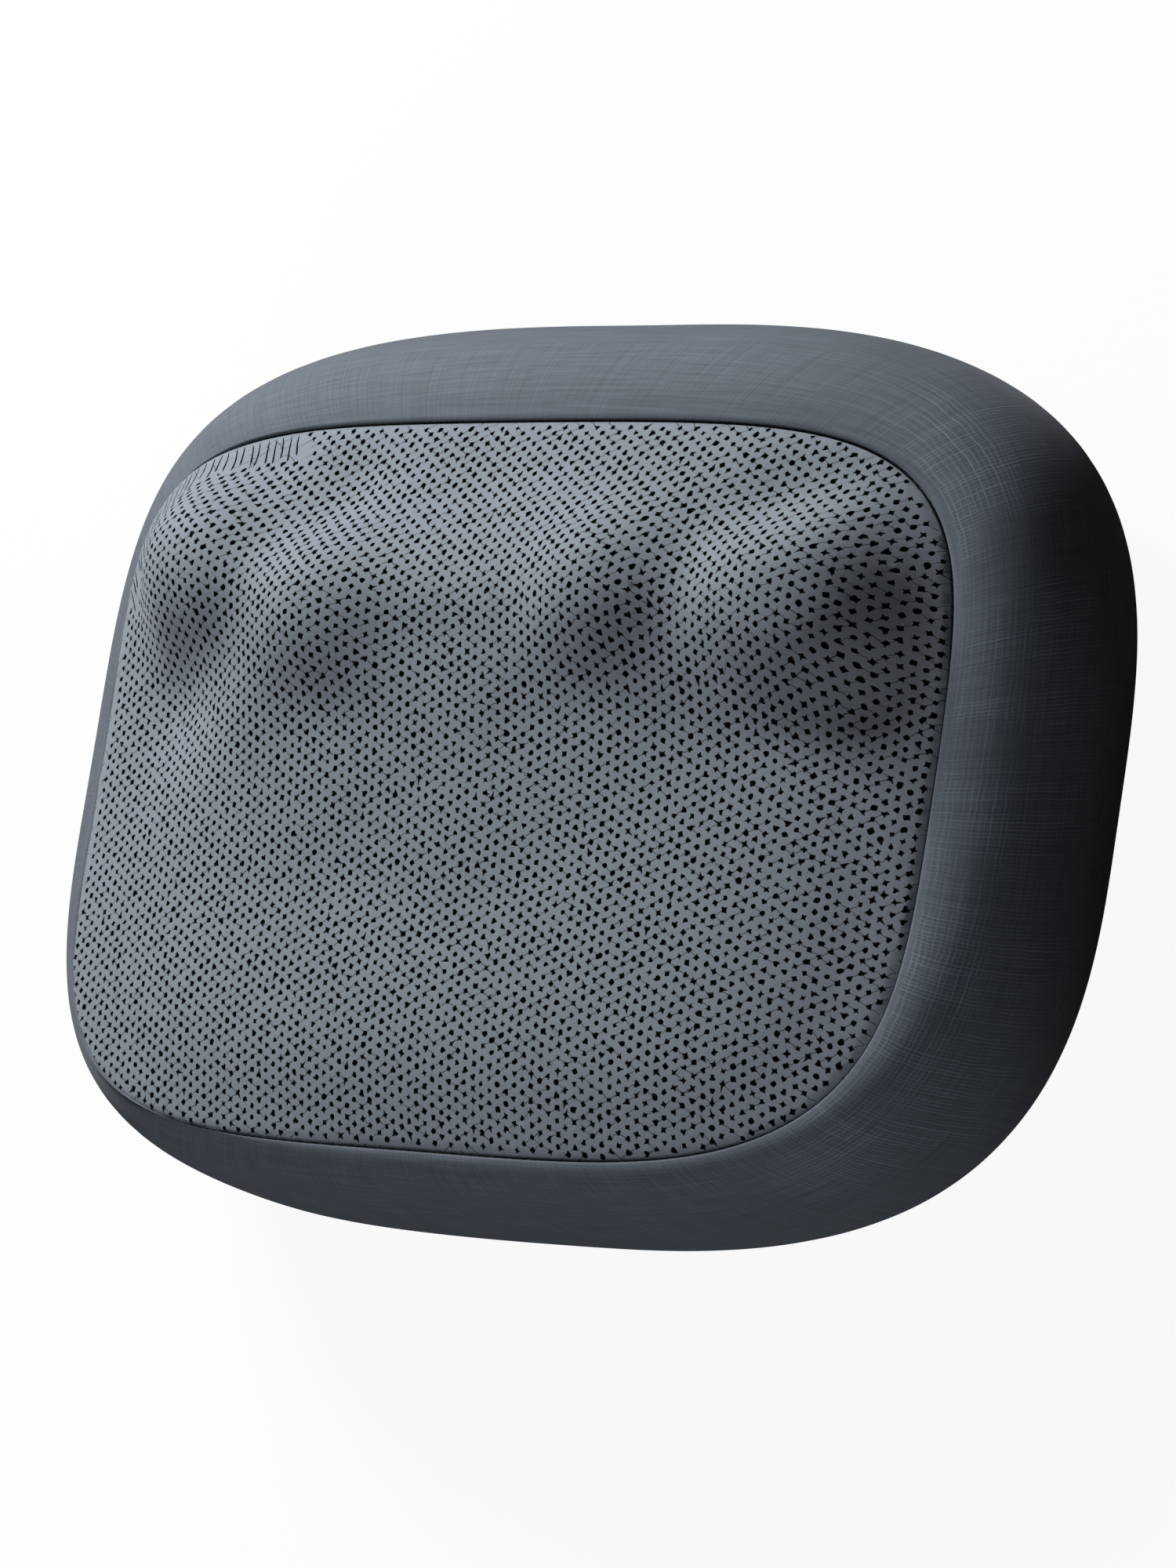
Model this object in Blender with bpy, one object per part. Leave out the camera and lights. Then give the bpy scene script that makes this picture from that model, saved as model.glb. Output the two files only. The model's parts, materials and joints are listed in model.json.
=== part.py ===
"""Shiatsu massage pillow: a padded cover over two counter-turning arms with four ribbed heads.

The pillow lies on its back. +X runs along its long side, +Y towards its top edge and +Z out of its
massaging front. The origin is on the surface that it lies on, under the middle of the cover.
Lengths are in metres.
"""

import math

import bmesh
import bpy
from mathutils import Vector

GAP = 0.0003                        # left between pieces that touch
STEPS = 40                          # points round the cover

# Cover: a rounded body whose outline grows from the back to the girth and closes to the front seam
BACK_Z = 0.004                      # the flat back, held off the surface by the feet
GIRTH_Z = 0.0437
SEAM_Z = 0.0877
SEAM_HALF = (0.1379, 0.0986)
COVER_SWELL = 0.0265                # the girth stands this far outside the seam
GIRTH_POWER = (3.23, 3.15)          # squareness of the outline, upper and lower half
SEAM_POWER = (4.8, 3.8)
SEAM_Y = -0.011                     # the front panel sits a little low on the cover
SEAM_BOW = (-0.0091, 0.0043)        # height the seam gains at its two ends, and at top and bottom
BACK_TUCK = 0.0427                  # how far the side rolls in below the girth
COVER_THICK = 0.0026
COVER_STEPS = (0.08, 0.4, 0.72, 1.05, 1.4, 1.7, 2.0)
WELT_RADIUS = 0.0011
BACK_PANEL_THICK = 0.002

# Front panel: perforated cloth on thin foam, crowned, and pushed up where the heads rest
PANEL_THICK = 0.0045
PANEL_CROWN = 0.014
PANEL_CROWN_POWER = 6
PANEL_RIM = 0.0016                  # from the panel's edge to the middle of the seam
PANEL_STEPS = (0.15, 0.3, 0.43, 0.56, 0.69, 0.8, 0.91, 1.0)
UNDER_STEPS = (1.0, 0.94, 0.8, 0.55, 0.28)
BUMP_HEIGHT = 0.0125
BUMP_RADIUS = 0.0205
LINER_THICK = 0.0008
LOWER_PAD_HALF = (0.112, 0.031)     # foam pad under the plain lower half of the front
LOWER_PAD_Y = -0.053

# Massage arms and heads
ARM_X = 0.0695                      # spindle axes, left and right of the middle
ARM_Y = 0.033
ARM_REACH = 0.030                   # spindle axis to head axis
ARM_TILT = {-1: math.radians(15), 1: 0.0}    # at rest, left and right: an outer head stands higher
ARM_Z = (0.055, 0.062)
ARM_HUB_RADIUS = 0.011
ARM_END_RADIUS = 0.0085
HEAD_RADIUS = 0.0175
HEAD_RIB = 0.0007
HEAD_Z = (0.0626, 0.0868)
HEAD_RECESS = (0.0062, 0.0775)      # radius of the screw's recess and height of its floor
PIN_RADIUS = 0.0026

# Gear train: worm, two stepped gears, two output gears
TRAIN_Y = ARM_Y
WORM_Z = 0.030
WORM_MODULE = 0.0015
WORM_RADIUS = 0.005
WORM_STARTS = 2
WORM_Y = (0.020, 0.046)
WHEEL_TEETH = 30
WHEEL_Z = (0.026, 0.034)
SPUR_MODULE = 0.00175
PINION_TEETH = 12
PINION_Z = (0.033, 0.045)
OUTPUT_TEETH = 36
OUTPUT_Z = (0.0365, 0.0445)
TOOTH_SHARE = 0.36                  # tooth width over pitch, so that the teeth run with backlash
WHEEL_X = WORM_RADIUS + WORM_MODULE * WHEEL_TEETH / 2
IDLER_PIN_RADIUS = 0.003
SPINDLE_RADIUS = 0.004
SPINDLE_Z = (0.011, 0.0615)
SHAFT_RADIUS = 0.0025
SHAFT_END_Y = 0.0625

# Hard housing inside the foam
HOUSING_HALF = (0.112, 0.078)
HOUSING_Y = -0.002
HOUSING_POWER = (3.8, 3.8)
WALL = 0.0025
FLOOR_Z = (0.0064, 0.0089)
SPLIT_Z = 0.038                     # where base shell and top frame meet
FRAME_Z = (0.049, 0.0515)
CARRIER_Z = (0.015, 0.018)
MOTOR_RADIUS = 0.017
MOTOR_Y = (-0.066, -0.0105)
POST_PLACES = [(-0.088, -0.057), (0.088, -0.057), (-0.030, 0.0677), (0.030, 0.0677)]
POST_RADIUS = 0.0048
HEAD_ROOM = ((0.121, 0.086), (5.0, 5.0), -0.003)    # the heads' space: half sizes, powers, middle
SCREW_RADIUS = 0.0014
SCREW_HEAD = 0.0017

# Control plate in the left end of the cover
PLATE_HALF = (0.029, 0.0125)        # along Y and Z
PLATE_X = (-0.1653, -0.1505)
PLATE_Z = 0.044
BUTTON_Y = 0.012
BUTTON_RADIUS = 0.008
BUTTON_TRAVEL = 0.0012
JACK_Y = -0.015
JACK_RADIUS = 0.0042
BOARD_X = (-0.1486, -0.147)

# Back: strap, zip and feet
STRAP_Y = 0.018
STRAP_HALF = (0.098, 0.019)
ZIP_Y = -0.050
ZIP_HALF_X = 0.088
FOOT_RADIUS = 0.008
FOOT_PLACES = [(side * 0.082, y) for side in (-1, 1) for y in (-0.020, 0.060)]

FINISHES = {                        # colour, roughness, metallic
    "mesh_fabric": ((0.17, 0.19, 0.22), 0.75, 0.0),
    "cover_fabric": ((0.12, 0.13, 0.15), 0.8, 0.0),
    "seam_thread": ((0.012, 0.013, 0.016), 0.8, 0.0),
    "lining_fabric": ((0.02, 0.02, 0.022), 0.9, 0.0),
    "webbing": ((0.015, 0.015, 0.017), 0.85, 0.0),
    "foam": ((0.55, 0.55, 0.5), 0.95, 0.0),
    "housing_plastic": ((0.03, 0.03, 0.032), 0.5, 0.0),
    "trim_plastic": ((0.02, 0.02, 0.022), 0.3, 0.0),
    "gear_plastic": ((0.78, 0.77, 0.72), 0.4, 0.0),
    "head_plastic": ((0.45, 0.06, 0.03), 0.35, 0.0),
    "lamp_lens": ((0.6, 0.02, 0.02), 0.15, 0.0),
    "light_lens": ((0.75, 0.78, 0.8), 0.3, 0.0),
    "steel": ((0.6, 0.6, 0.62), 0.3, 1.0),
    "brass": ((0.7, 0.5, 0.2), 0.3, 1.0),
    "circuit_board": ((0.03, 0.2, 0.08), 0.5, 0.0),
    "rubber": ((0.02, 0.02, 0.02), 0.8, 0.0),
}


# ---------------------------------------------------------------- making objects

def finish_material(finish):
    """The material of a finish, made once."""
    if finish in bpy.data.materials:
        return bpy.data.materials[finish]
    colour, roughness, metallic = FINISHES[finish]
    material = bpy.data.materials.new(finish)
    material.use_nodes = True
    shader = material.node_tree.nodes["Principled BSDF"]
    shader.inputs["Base Color"].default_value = (*colour, 1.0)
    shader.inputs["Roughness"].default_value = roughness
    shader.inputs["Metallic"].default_value = metallic
    return material


def solid(name, points, faces, finish, origin=(0, 0, 0)):
    """An object from world points, with its origin where asked and its faces pointing out."""
    origin = Vector(origin)
    mesh = bpy.data.meshes.new(name)
    mesh.from_pydata([Vector(point) - origin for point in points], [], faces)
    shape = bmesh.new()
    shape.from_mesh(mesh)
    bmesh.ops.recalc_face_normals(shape, faces=shape.faces)
    shape.to_mesh(mesh)
    shape.free()
    mesh.shade_smooth()
    mesh.set_sharp_from_angle(angle=math.radians(35))
    mesh.materials.append(finish_material(finish))
    piece = bpy.data.objects.new(name, mesh)
    piece.location = origin
    bpy.context.collection.objects.link(piece)
    return piece


def loft(name, rings, finish, origin=(0, 0, 0), loop=False):
    """A skin over rings of points; a ring of one point is an apex, and a loop joins last to first."""
    points, starts = [], []
    for ring in rings:
        starts.append(len(points))
        points.extend(ring)
    faces = []
    pairs = list(zip(range(len(rings)), range(1, len(rings))))
    if loop:
        pairs.append((len(rings) - 1, 0))
    for low, high in pairs:
        count = max(len(rings[low]), len(rings[high]))
        for i in range(count):
            j = (i + 1) % count
            corners = []
            for ring, order in ((low, (i, j)), (high, (j, i))):
                size = len(rings[ring])
                corners += [starts[ring] + k % size for k in order[: 1 if size == 1 else 2]]
            faces.append(corners)
    if not loop:
        for ring in (0, len(rings) - 1):
            if len(rings[ring]) > 1:
                faces.append([starts[ring] + i for i in range(len(rings[ring]))])
    return solid(name, points, faces, finish, origin)


def along(axis, across_1, across_2, run):
    """A vector from its parts across and along an axis, X, Y or Z."""
    return {
        "X": Vector((run, across_1, across_2)),
        "Y": Vector((across_1, run, across_2)),
        "Z": Vector((across_1, across_2, run)),
    }[axis]


def turned(name, profile, finish, centre=(0, 0), axis="Z", sides=20, bored=False, rib=(0.0, 0.0),
           origin=None):
    """A turned piece: profile lists (radius, place along the axis); bored joins its last to its first.

    rib gives the height of the ribs and the radius beyond which they stand.
    """
    rings = []
    for radius, run in profile:
        if radius == 0:
            rings.append([along(axis, centre[0], centre[1], run)])
            continue
        ring = []
        for i in range(sides):
            angle = 2 * math.pi * i / sides
            reach = radius + (rib[0] * (-1) ** i if radius > rib[1] else 0.0)
            ring.append(along(axis, centre[0] + reach * math.cos(angle),
                              centre[1] + reach * math.sin(angle), run))
        rings.append(ring)
    if origin is None:
        origin = along(axis, centre[0], centre[1], profile[0][1])
    return loft(name, rings, finish, origin, loop=bored)


def rod(name, radius, ends, finish, **place):
    """A plain round bar."""
    return turned(name, [(radius, ends[0]), (radius, ends[1])], finish, **place)


def tube(name, outer, inner, ends, finish, **place):
    """A round bush or collar."""
    profile = [(outer, ends[0]), (outer, ends[1]), (inner, ends[1]), (inner, ends[0])]
    return turned(name, profile, finish, bored=True, **place)


def box(name, low, high, finish):
    """A block between two corners."""
    rings = [[(x, y, z) for x, y in ((low[0], low[1]), (high[0], low[1]),
                                     (high[0], high[1]), (low[0], high[1]))] for z in (low[2], high[2])]
    return loft(name, rings, finish)


def slab(name, outline, heights, finish, origin=(0, 0, 0)):
    """A plate of a given outline between two heights."""
    return loft(name, [[(x, y, z) for x, y in outline] for z in heights], finish, origin)


def boolean(piece, tool, operation):
    """Adds a tool to a piece, or cuts it away; the tool itself isn't part of the model."""
    change = piece.modifiers.new(operation.lower(), "BOOLEAN")
    change.operation = operation
    change.solver = "EXACT"
    change.object = tool
    tool.hide_render = True
    tool.display_type = "WIRE"


def cut(piece, *tools):
    """Cuts tools away from a piece."""
    for tool in tools:
        boolean(piece, tool, "DIFFERENCE")


def join(piece, *tools):
    """Joins tools to a piece, as one moulding."""
    for tool in tools:
        boolean(piece, tool, "UNION")


# ---------------------------------------------------------------- outlines and surfaces

def rounded(half, powers, centre_y=0.0, steps=STEPS):
    """A rounded rectangle as a superellipse: a higher power is squarer."""
    ring = []
    for i in range(steps):
        angle = 2 * math.pi * i / steps
        c, s = math.cos(angle), math.sin(angle)
        power = powers[1] + (powers[0] - powers[1]) * (0.5 + 0.5 * math.tanh(6 * s))
        reach = (abs(c / half[0]) ** power + abs(s / half[1]) ** power) ** (-1 / power)
        ring.append(Vector((reach * c, centre_y + reach * s)))
    return ring


def bow(x, y, half):
    """Height that the seam's plane gains at a point, from its bow along and across."""
    return SEAM_BOW[0] * (x / half[0]) ** 2 + SEAM_BOW[1] * (y / half[1]) ** 2


def side_ring(place, inset=0.0):
    """A ring of the cover's side: place is 0 at the front seam, 1 at the girth and 2 at the back."""
    rise, tuck = SEAM_Z - GIRTH_Z, GIRTH_Z - BACK_Z
    turn = math.pi / 2 * (place if place <= 1 else place - 1)
    if place <= 1:
        out, drop, blend = COVER_SWELL * math.sin(turn), rise * (1 - math.cos(turn)), math.sin(turn)
        normal = Vector((rise * math.sin(turn), COVER_SWELL * math.cos(turn))).normalized()
    else:
        out = COVER_SWELL - BACK_TUCK * (1 - math.cos(turn))
        drop, blend = rise + tuck * math.sin(turn), 1.0
        normal = Vector((tuck * math.cos(turn), -BACK_TUCK * math.sin(turn))).normalized()
    half = [side + out - inset * normal.x for side in SEAM_HALF]
    powers = [a + (b - a) * blend for a, b in zip(SEAM_POWER, GIRTH_POWER)]
    height = SEAM_Z - drop - inset * normal.y
    centre_y = SEAM_Y * (1 - blend)
    fade = max(0.0, 1 - drop / rise)
    return [Vector((x, y, height + fade * bow(x, y - centre_y, half)))
            for x, y in rounded(half, powers, centre_y)]


def head_places(side):
    """The two head axes of an arm at rest, inner first; side is -1 left and 1 right."""
    tilt = ARM_TILT[side]
    return [Vector((side * (ARM_X + reach * math.cos(tilt)), ARM_Y + reach * math.sin(tilt)))
            for reach in (-ARM_REACH, ARM_REACH)]


def front_height(x, y, bumps):
    """Height of the front panel's outer face, with or without the bumps over the resting heads."""
    local_y = y - SEAM_Y
    power = SEAM_POWER[0] if local_y > 0 else SEAM_POWER[1]
    share = (abs(x / SEAM_HALF[0]) ** power + abs(local_y / SEAM_HALF[1]) ** power) ** (1 / power)
    height = SEAM_Z + bow(x, local_y, SEAM_HALF)
    height += PANEL_CROWN * (1 - min(1.0, share) ** PANEL_CROWN_POWER)
    if bumps:
        for side in (-1, 1):
            for place in head_places(side):
                away = (Vector((x, y)) - place).length / BUMP_RADIUS
                height += BUMP_HEIGHT * math.exp(-away * away)
    return height


def panel_ring(share, sink, bumps=False):
    """A ring of the front panel at a share of its outline, sunk below the outer face."""
    edge = rounded([side - PANEL_RIM for side in SEAM_HALF], SEAM_POWER)
    ring = []
    for point in edge:
        x, y = point.x * share, SEAM_Y + point.y * share
        ring.append(Vector((x, y, front_height(x, y, bumps) - sink)))
    return ring


# ---------------------------------------------------------------- cover and padding

def make_cover():
    """The cloth parts: front panel, seam, side, back and lining."""
    centre = Vector((0, SEAM_Y, front_height(0, SEAM_Y, False)))
    top = [[Vector((0, SEAM_Y, front_height(0, SEAM_Y, True)))]]
    top += [panel_ring(share, 0.0, bumps=True) for share in PANEL_STEPS]
    under = [panel_ring(share, PANEL_THICK) for share in UNDER_STEPS]
    loft("mesh_front_panel", top + under + [[centre - Vector((0, 0, PANEL_THICK))]], "mesh_fabric")

    sink = PANEL_THICK + GAP + 0.0001
    liner = [[centre - Vector((0, 0, sink))]]
    liner += [panel_ring(share, sink) for share in reversed(UNDER_STEPS[1:])]
    liner += [panel_ring(share, sink + LINER_THICK) for share in UNDER_STEPS[1:]]
    liner += [[centre - Vector((0, 0, sink + LINER_THICK))]]
    loft("inner_liner", liner, "lining_fabric")

    outer = [side_ring(place) for place in COVER_STEPS]
    inner = [side_ring(place, COVER_THICK) for place in reversed(COVER_STEPS)]
    cover = loft("side_cover", outer + inner, "cover_fabric", loop=True)
    cut(cover, plate_opening("cover_opening"))

    make_welt()
    back_half = [side + COVER_SWELL - BACK_TUCK - 2 * GAP for side in SEAM_HALF]
    slab("back_panel", rounded(back_half, GIRTH_POWER), (BACK_Z, BACK_Z + BACK_PANEL_THICK), "cover_fabric")


def make_welt():
    """The thin sewn seam that runs round the front panel."""
    middle = side_ring(0.0)
    rings = []
    for i in range(5):
        turn = 2 * math.pi * i / 5
        rings.append([point + Vector((point.x, point.y - SEAM_Y, 0)).normalized()
                      * WELT_RADIUS * math.cos(turn) + Vector((0, 0, WELT_RADIUS * math.sin(turn)))
                      for point in middle])
    loft("seam_welt", rings, "seam_thread", loop=True)


def plate_opening(name):
    """The opening through the left end of the cover for the control plate."""
    room = 3 * GAP
    return box(name, (-0.175, -PLATE_HALF[0] - room, PLATE_Z - PLATE_HALF[1] - room),
               (-0.145, PLATE_HALF[0] + room, PLATE_Z + PLATE_HALF[1] + room), "cover_fabric")


def make_padding():
    """The foam ring round the housing and the foam pad under the plain lower half of the front."""
    inset = COVER_THICK + 5 * GAP
    outer = [side_ring(place, inset) for place in COVER_STEPS[1:-1]]
    housing = rounded([side + 0.0014 for side in HOUSING_HALF], HOUSING_POWER, HOUSING_Y)
    inner = [[(x, y, z) for x, y in outline] for outline, z in (
        (housing, outer[-1][0].z), (housing, FRAME_Z[1] - GAP),
        (rounded(*HEAD_ROOM), FRAME_Z[1]), (rounded(*HEAD_ROOM), 0.070))]
    foam = loft("foam_surround", outer + inner, "foam", loop=True)
    pocket = box("board_pocket", (-0.172, -0.033, 0.0285), (-0.143, 0.033, 0.0595), "foam")
    channel = box("lead_channel", (-0.144, -0.019, 0.039), (-0.108, -0.009, 0.049), "foam")
    cut(foam, pocket, channel)

    pad = rounded(LOWER_PAD_HALF, (4, 4), LOWER_PAD_Y, steps=24)
    bottom = [(x, y, FRAME_Z[1] + SCREW_HEAD + 2 * GAP) for x, y in pad]
    rings = [bottom]
    for share in (1.0, 0.66, 0.33, 0.0):
        spots = [(x * share, LOWER_PAD_Y + (y - LOWER_PAD_Y) * share) for x, y in pad]
        ring = [(x, y, front_height(x, y, False) - PANEL_THICK - 0.0035) for x, y in spots]
        rings.append(ring if share else ring[:1])
    loft("lower_foam_pad", rings, "foam")


# ---------------------------------------------------------------- housing

def make_base_shell():
    """The hard tray at the back, with its screw posts and the motor's two saddles."""
    outside = rounded(HOUSING_HALF, HOUSING_POWER, HOUSING_Y)
    inside = rounded([side - WALL for side in HOUSING_HALF], HOUSING_POWER, HOUSING_Y)
    rings = [[(x, y, z) for x, y in ring] for ring, z in (
        (outside, FLOOR_Z[0]), (outside, SPLIT_Z), (inside, SPLIT_Z), (inside, FLOOR_Z[1]))]
    shell = loft("base_shell", rings, "housing_plastic")
    sunk = FLOOR_Z[1] - 0.001
    for i, place in enumerate(POST_PLACES):
        join(shell, rod(f"post_{i}", POST_RADIUS, (sunk, FRAME_Z[0] - GAP), "housing_plastic",
                        centre=place, sides=12))
        cut(shell, rod(f"post_hole_{i}", SCREW_RADIUS + GAP, (0.038, 0.060), "housing_plastic",
                       centre=place, sides=8))
    for i, y in enumerate((-0.056, -0.024)):
        join(shell, box(f"saddle_{i}", (-0.010, y - 0.003, sunk),
                        (0.010, y + 0.003, WORM_Z - MOTOR_RADIUS - GAP), "housing_plastic"))


def make_top_frame():
    """The lid of the housing, which holds the spindles' bushes."""
    outside = rounded(HOUSING_HALF, HOUSING_POWER, HOUSING_Y)
    inside = rounded([side - WALL for side in HOUSING_HALF], HOUSING_POWER, HOUSING_Y)
    rings = [[(x, y, z) for x, y in ring] for ring, z in (
        (outside, FRAME_Z[1]), (outside, SPLIT_Z + GAP), (inside, SPLIT_Z + GAP), (inside, FRAME_Z[0]))]
    frame = loft("top_frame", rings, "housing_plastic")
    for i, place in enumerate(POST_PLACES):
        cut(frame, rod(f"frame_hole_{i}", SCREW_RADIUS + GAP, (0.045, 0.060), "housing_plastic",
                       centre=place, sides=8))
        profile = [(SCREW_RADIUS, 0.040), (SCREW_RADIUS, FRAME_Z[1] + GAP),
                   (0.0028, FRAME_Z[1] + GAP), (0.0028, FRAME_Z[1] + GAP + SCREW_HEAD)]
        turned(f"housing_screw_{i + 1}", profile, "steel", centre=place, sides=8)
    for name, side in (("left", -1), ("right", 1)):
        centre = (side * ARM_X, ARM_Y)
        cut(frame, rod(f"bush_hole_{name}", 0.009, (0.045, 0.060), "housing_plastic", centre=centre))
        tube(f"spindle_bush_{name}", 0.009 - GAP, SPINDLE_RADIUS + GAP, (0.0452, 0.0542), "brass",
             centre=centre)
    cut(frame, box("lead_notch", (-0.120, -0.018, 0.040), (-0.105, -0.010, 0.048), "housing_plastic"))


def make_gear_carrier():
    """The plate on four legs that carries the gear train's lower ends."""
    outline = rounded((0.080, 0.036), (6, 6), 0.026, steps=20)
    carrier = slab("gear_carrier", outline, CARRIER_Z, "housing_plastic")
    for i, (x, y) in enumerate([(side * 0.070, y) for side in (-1, 1) for y in (0.0, 0.052)]):
        join(carrier, rod(f"carrier_leg_{i}", 0.004, (FLOOR_Z[1] + GAP, CARRIER_Z[0] + 0.001),
                          "housing_plastic", centre=(x, y), sides=10))
    for name, side in (("left", -1), ("right", 1)):
        for kind, x, radius in (("spindle", ARM_X, SPINDLE_RADIUS), ("idler", WHEEL_X, IDLER_PIN_RADIUS)):
            cut(carrier, rod(f"{kind}_seat_{name}", radius + GAP, (0.010, 0.022), "housing_plastic",
                             centre=(side * x, TRAIN_Y), sides=16))
    bearing = box("worm_bearing", (-0.008, 0.0565, CARRIER_Z[1] + GAP), (0.008, 0.0615, 0.037),
                  "housing_plastic")
    cut(bearing, rod("bearing_bore", SHAFT_RADIUS + GAP, (0.050, 0.066), "housing_plastic",
                     centre=(0, WORM_Z), axis="Y", sides=16))


def make_motor():
    """The motor, its end cap and the bracket that holds it to the carrier."""
    centre = (0, WORM_Z)
    can = turned("motor_can", [
        (MOTOR_RADIUS - 0.0015, MOTOR_Y[0]), (MOTOR_RADIUS, MOTOR_Y[0] + 0.0015),
        (MOTOR_RADIUS, MOTOR_Y[1] - 0.0015), (MOTOR_RADIUS - 0.0015, MOTOR_Y[1]),
    ], "steel", centre=centre, axis="Y", sides=24)
    cut(can, rod("shaft_seat", SHAFT_RADIUS + GAP, (MOTOR_Y[1] - 0.004, 0.010), "steel",
                 centre=centre, axis="Y", sides=12))
    turned("motor_end_cap", [
        (0.012, MOTOR_Y[0] - 0.0062), (0.0155, MOTOR_Y[0] - 0.0045), (0.0155, MOTOR_Y[0] - GAP),
    ], "housing_plastic", centre=centre, axis="Y", sides=20)
    bracket = box("motor_bracket", (-0.019, MOTOR_Y[1] + GAP, CARRIER_Z[1] + GAP),
                  (0.019, MOTOR_Y[1] + 0.003, 0.0475), "steel")
    cut(bracket, rod("bracket_bore", 0.005, (-0.02, 0.01), "steel", centre=centre, axis="Y", sides=16))


# ---------------------------------------------------------------- gear train

def gear_outline(teeth, module, centre, on_tooth, twist=0.0):
    """A gear's outline with straight-sided teeth; on_tooth puts a tooth at angle 0, else a space."""
    radius = module * teeth / 2
    step = 2 * math.pi / teeth
    root, tip = radius - 1.15 * module, radius + 0.8 * module
    wide, narrow = 1.25 * TOOTH_SHARE * step / 2, 0.6 * TOOTH_SHARE * step / 2
    outline = []
    for i in range(teeth):
        middle = step * (i + (0.0 if on_tooth else 0.5)) + twist
        for reach, turn in ((root, -wide), (tip, -narrow), (tip, narrow), (root, wide)):
            angle = middle + turn
            outline.append((centre[0] + reach * math.cos(angle), centre[1] + reach * math.sin(angle)))
    return outline


def make_worm():
    """The brass worm on the motor's shaft: a core with two raised threads."""
    rod("worm_shaft", SHAFT_RADIUS, (MOTOR_Y[1] - 0.0035, SHAFT_END_Y), "steel",
        centre=(0, WORM_Z), axis="Y", sides=16)
    pitch = math.pi * WORM_MODULE
    lead = WORM_STARTS * pitch
    core, crest, buried = WORM_RADIUS - 1.1 * WORM_MODULE, WORM_RADIUS + 0.8 * WORM_MODULE, 0.0029
    foot, top = 1.6 * TOOTH_SHARE * pitch / 2, 0.5 * TOOTH_SHARE * pitch / 2
    worm = tube("worm", core, SHAFT_RADIUS + GAP / 2, WORM_Y, "brass",
                centre=(0, WORM_Z), axis="Y", sides=16)
    turns_per_side = 0.5 * (WORM_Y[1] - WORM_Y[0] - 0.004) / lead
    count = int(2 * turns_per_side * 10)
    for start in range(WORM_STARTS):
        rings = []
        for i in range(count + 1):
            angle = 2 * math.pi * turns_per_side * (2 * i / count - 1)
            y = TRAIN_Y + lead * angle / (2 * math.pi)
            around = angle + 2 * math.pi * start / WORM_STARTS
            rings.append([(reach * math.cos(around), y + shift, WORM_Z + reach * math.sin(around))
                          for reach, shift in ((buried, -foot), (crest, -top), (crest, top), (buried, foot))])
        join(worm, loft(f"worm_thread_{start}", rings, "brass"))


def make_stepped_gear(name, side):
    """A worm wheel with slanted teeth and, moulded on top of it, the pinion."""
    centre = (side * WHEEL_X, TRAIN_Y)
    radius = WORM_MODULE * WHEEL_TEETH / 2
    slant = WORM_STARTS * WORM_MODULE / (2 * WORM_RADIUS)
    rings = []
    for z in WHEEL_Z:
        twist = -slant * (z - WORM_Z) / radius
        rings.append([(x, y, z) for x, y in gear_outline(
            WHEEL_TEETH, WORM_MODULE, centre, False, twist)])
    gear = loft(f"stepped_gear_{name}", rings, "gear_plastic", origin=(*centre, 0))
    join(gear, slab(f"pinion_{name}", gear_outline(PINION_TEETH, SPUR_MODULE, centre, True),
                    PINION_Z, "gear_plastic"))
    cut(gear, rod(f"gear_bore_{name}", IDLER_PIN_RADIUS + GAP, (0.020, 0.050), "gear_plastic",
                  centre=centre, sides=16))
    rod(f"idler_pin_{name}", IDLER_PIN_RADIUS, (0.0152, 0.0475), "steel", centre=centre, sides=14)


def make_arm(name, side):
    """One massage arm with its spindle, output gear, two pins and two heads."""
    centre = (side * ARM_X, ARM_Y)
    origin = (*centre, 0)
    rod(f"spindle_{name}", SPINDLE_RADIUS, SPINDLE_Z, "steel", centre=centre, origin=origin)
    gear = slab(f"output_gear_{name}", gear_outline(OUTPUT_TEETH, SPUR_MODULE, centre, False),
                OUTPUT_Z, "gear_plastic", origin)
    arm = slab(f"arm_{name}", arm_outline(side), ARM_Z, "housing_plastic", origin)
    for piece, tag in ((gear, "gear"), (arm, "arm")):
        cut(piece, rod(f"{tag}_seat_{name}", SPINDLE_RADIUS + GAP, (0.030, 0.070), "steel",
                       centre=centre, sides=16))
    for where, place in zip(("inner", "outer"), head_places(side)):
        cut(arm, rod(f"pin_seat_{name}_{where}", PIN_RADIUS + GAP, (0.050, 0.070), "steel",
                     centre=place, sides=12))
        make_head(f"{name}_{where}", place)


def arm_outline(side):
    """The arm's outline: a round hub between two round ends, joined by straight flanks."""
    inner, outer = head_places(side)
    middle = Vector((side * ARM_X, ARM_Y))
    heading = math.atan2(*(outer - middle).yx)
    arcs = [                        # centre, radius, heading of the arc's middle, half its sweep, steps
        (outer, ARM_END_RADIUS, heading, math.pi / 2, 8),
        (middle, ARM_HUB_RADIUS, heading + math.pi / 2, math.pi / 6, 2),
        (inner, ARM_END_RADIUS, heading + math.pi, math.pi / 2, 8),
        (middle, ARM_HUB_RADIUS, heading - math.pi / 2, math.pi / 6, 2),
    ]
    outline = []
    for centre, radius, faces, sweep, steps in arcs:
        for i in range(steps + 1):
            angle = faces + sweep * (2 * i / steps - 1)
            outline.append(centre + radius * Vector((math.cos(angle), math.sin(angle))))
    return outline


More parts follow.
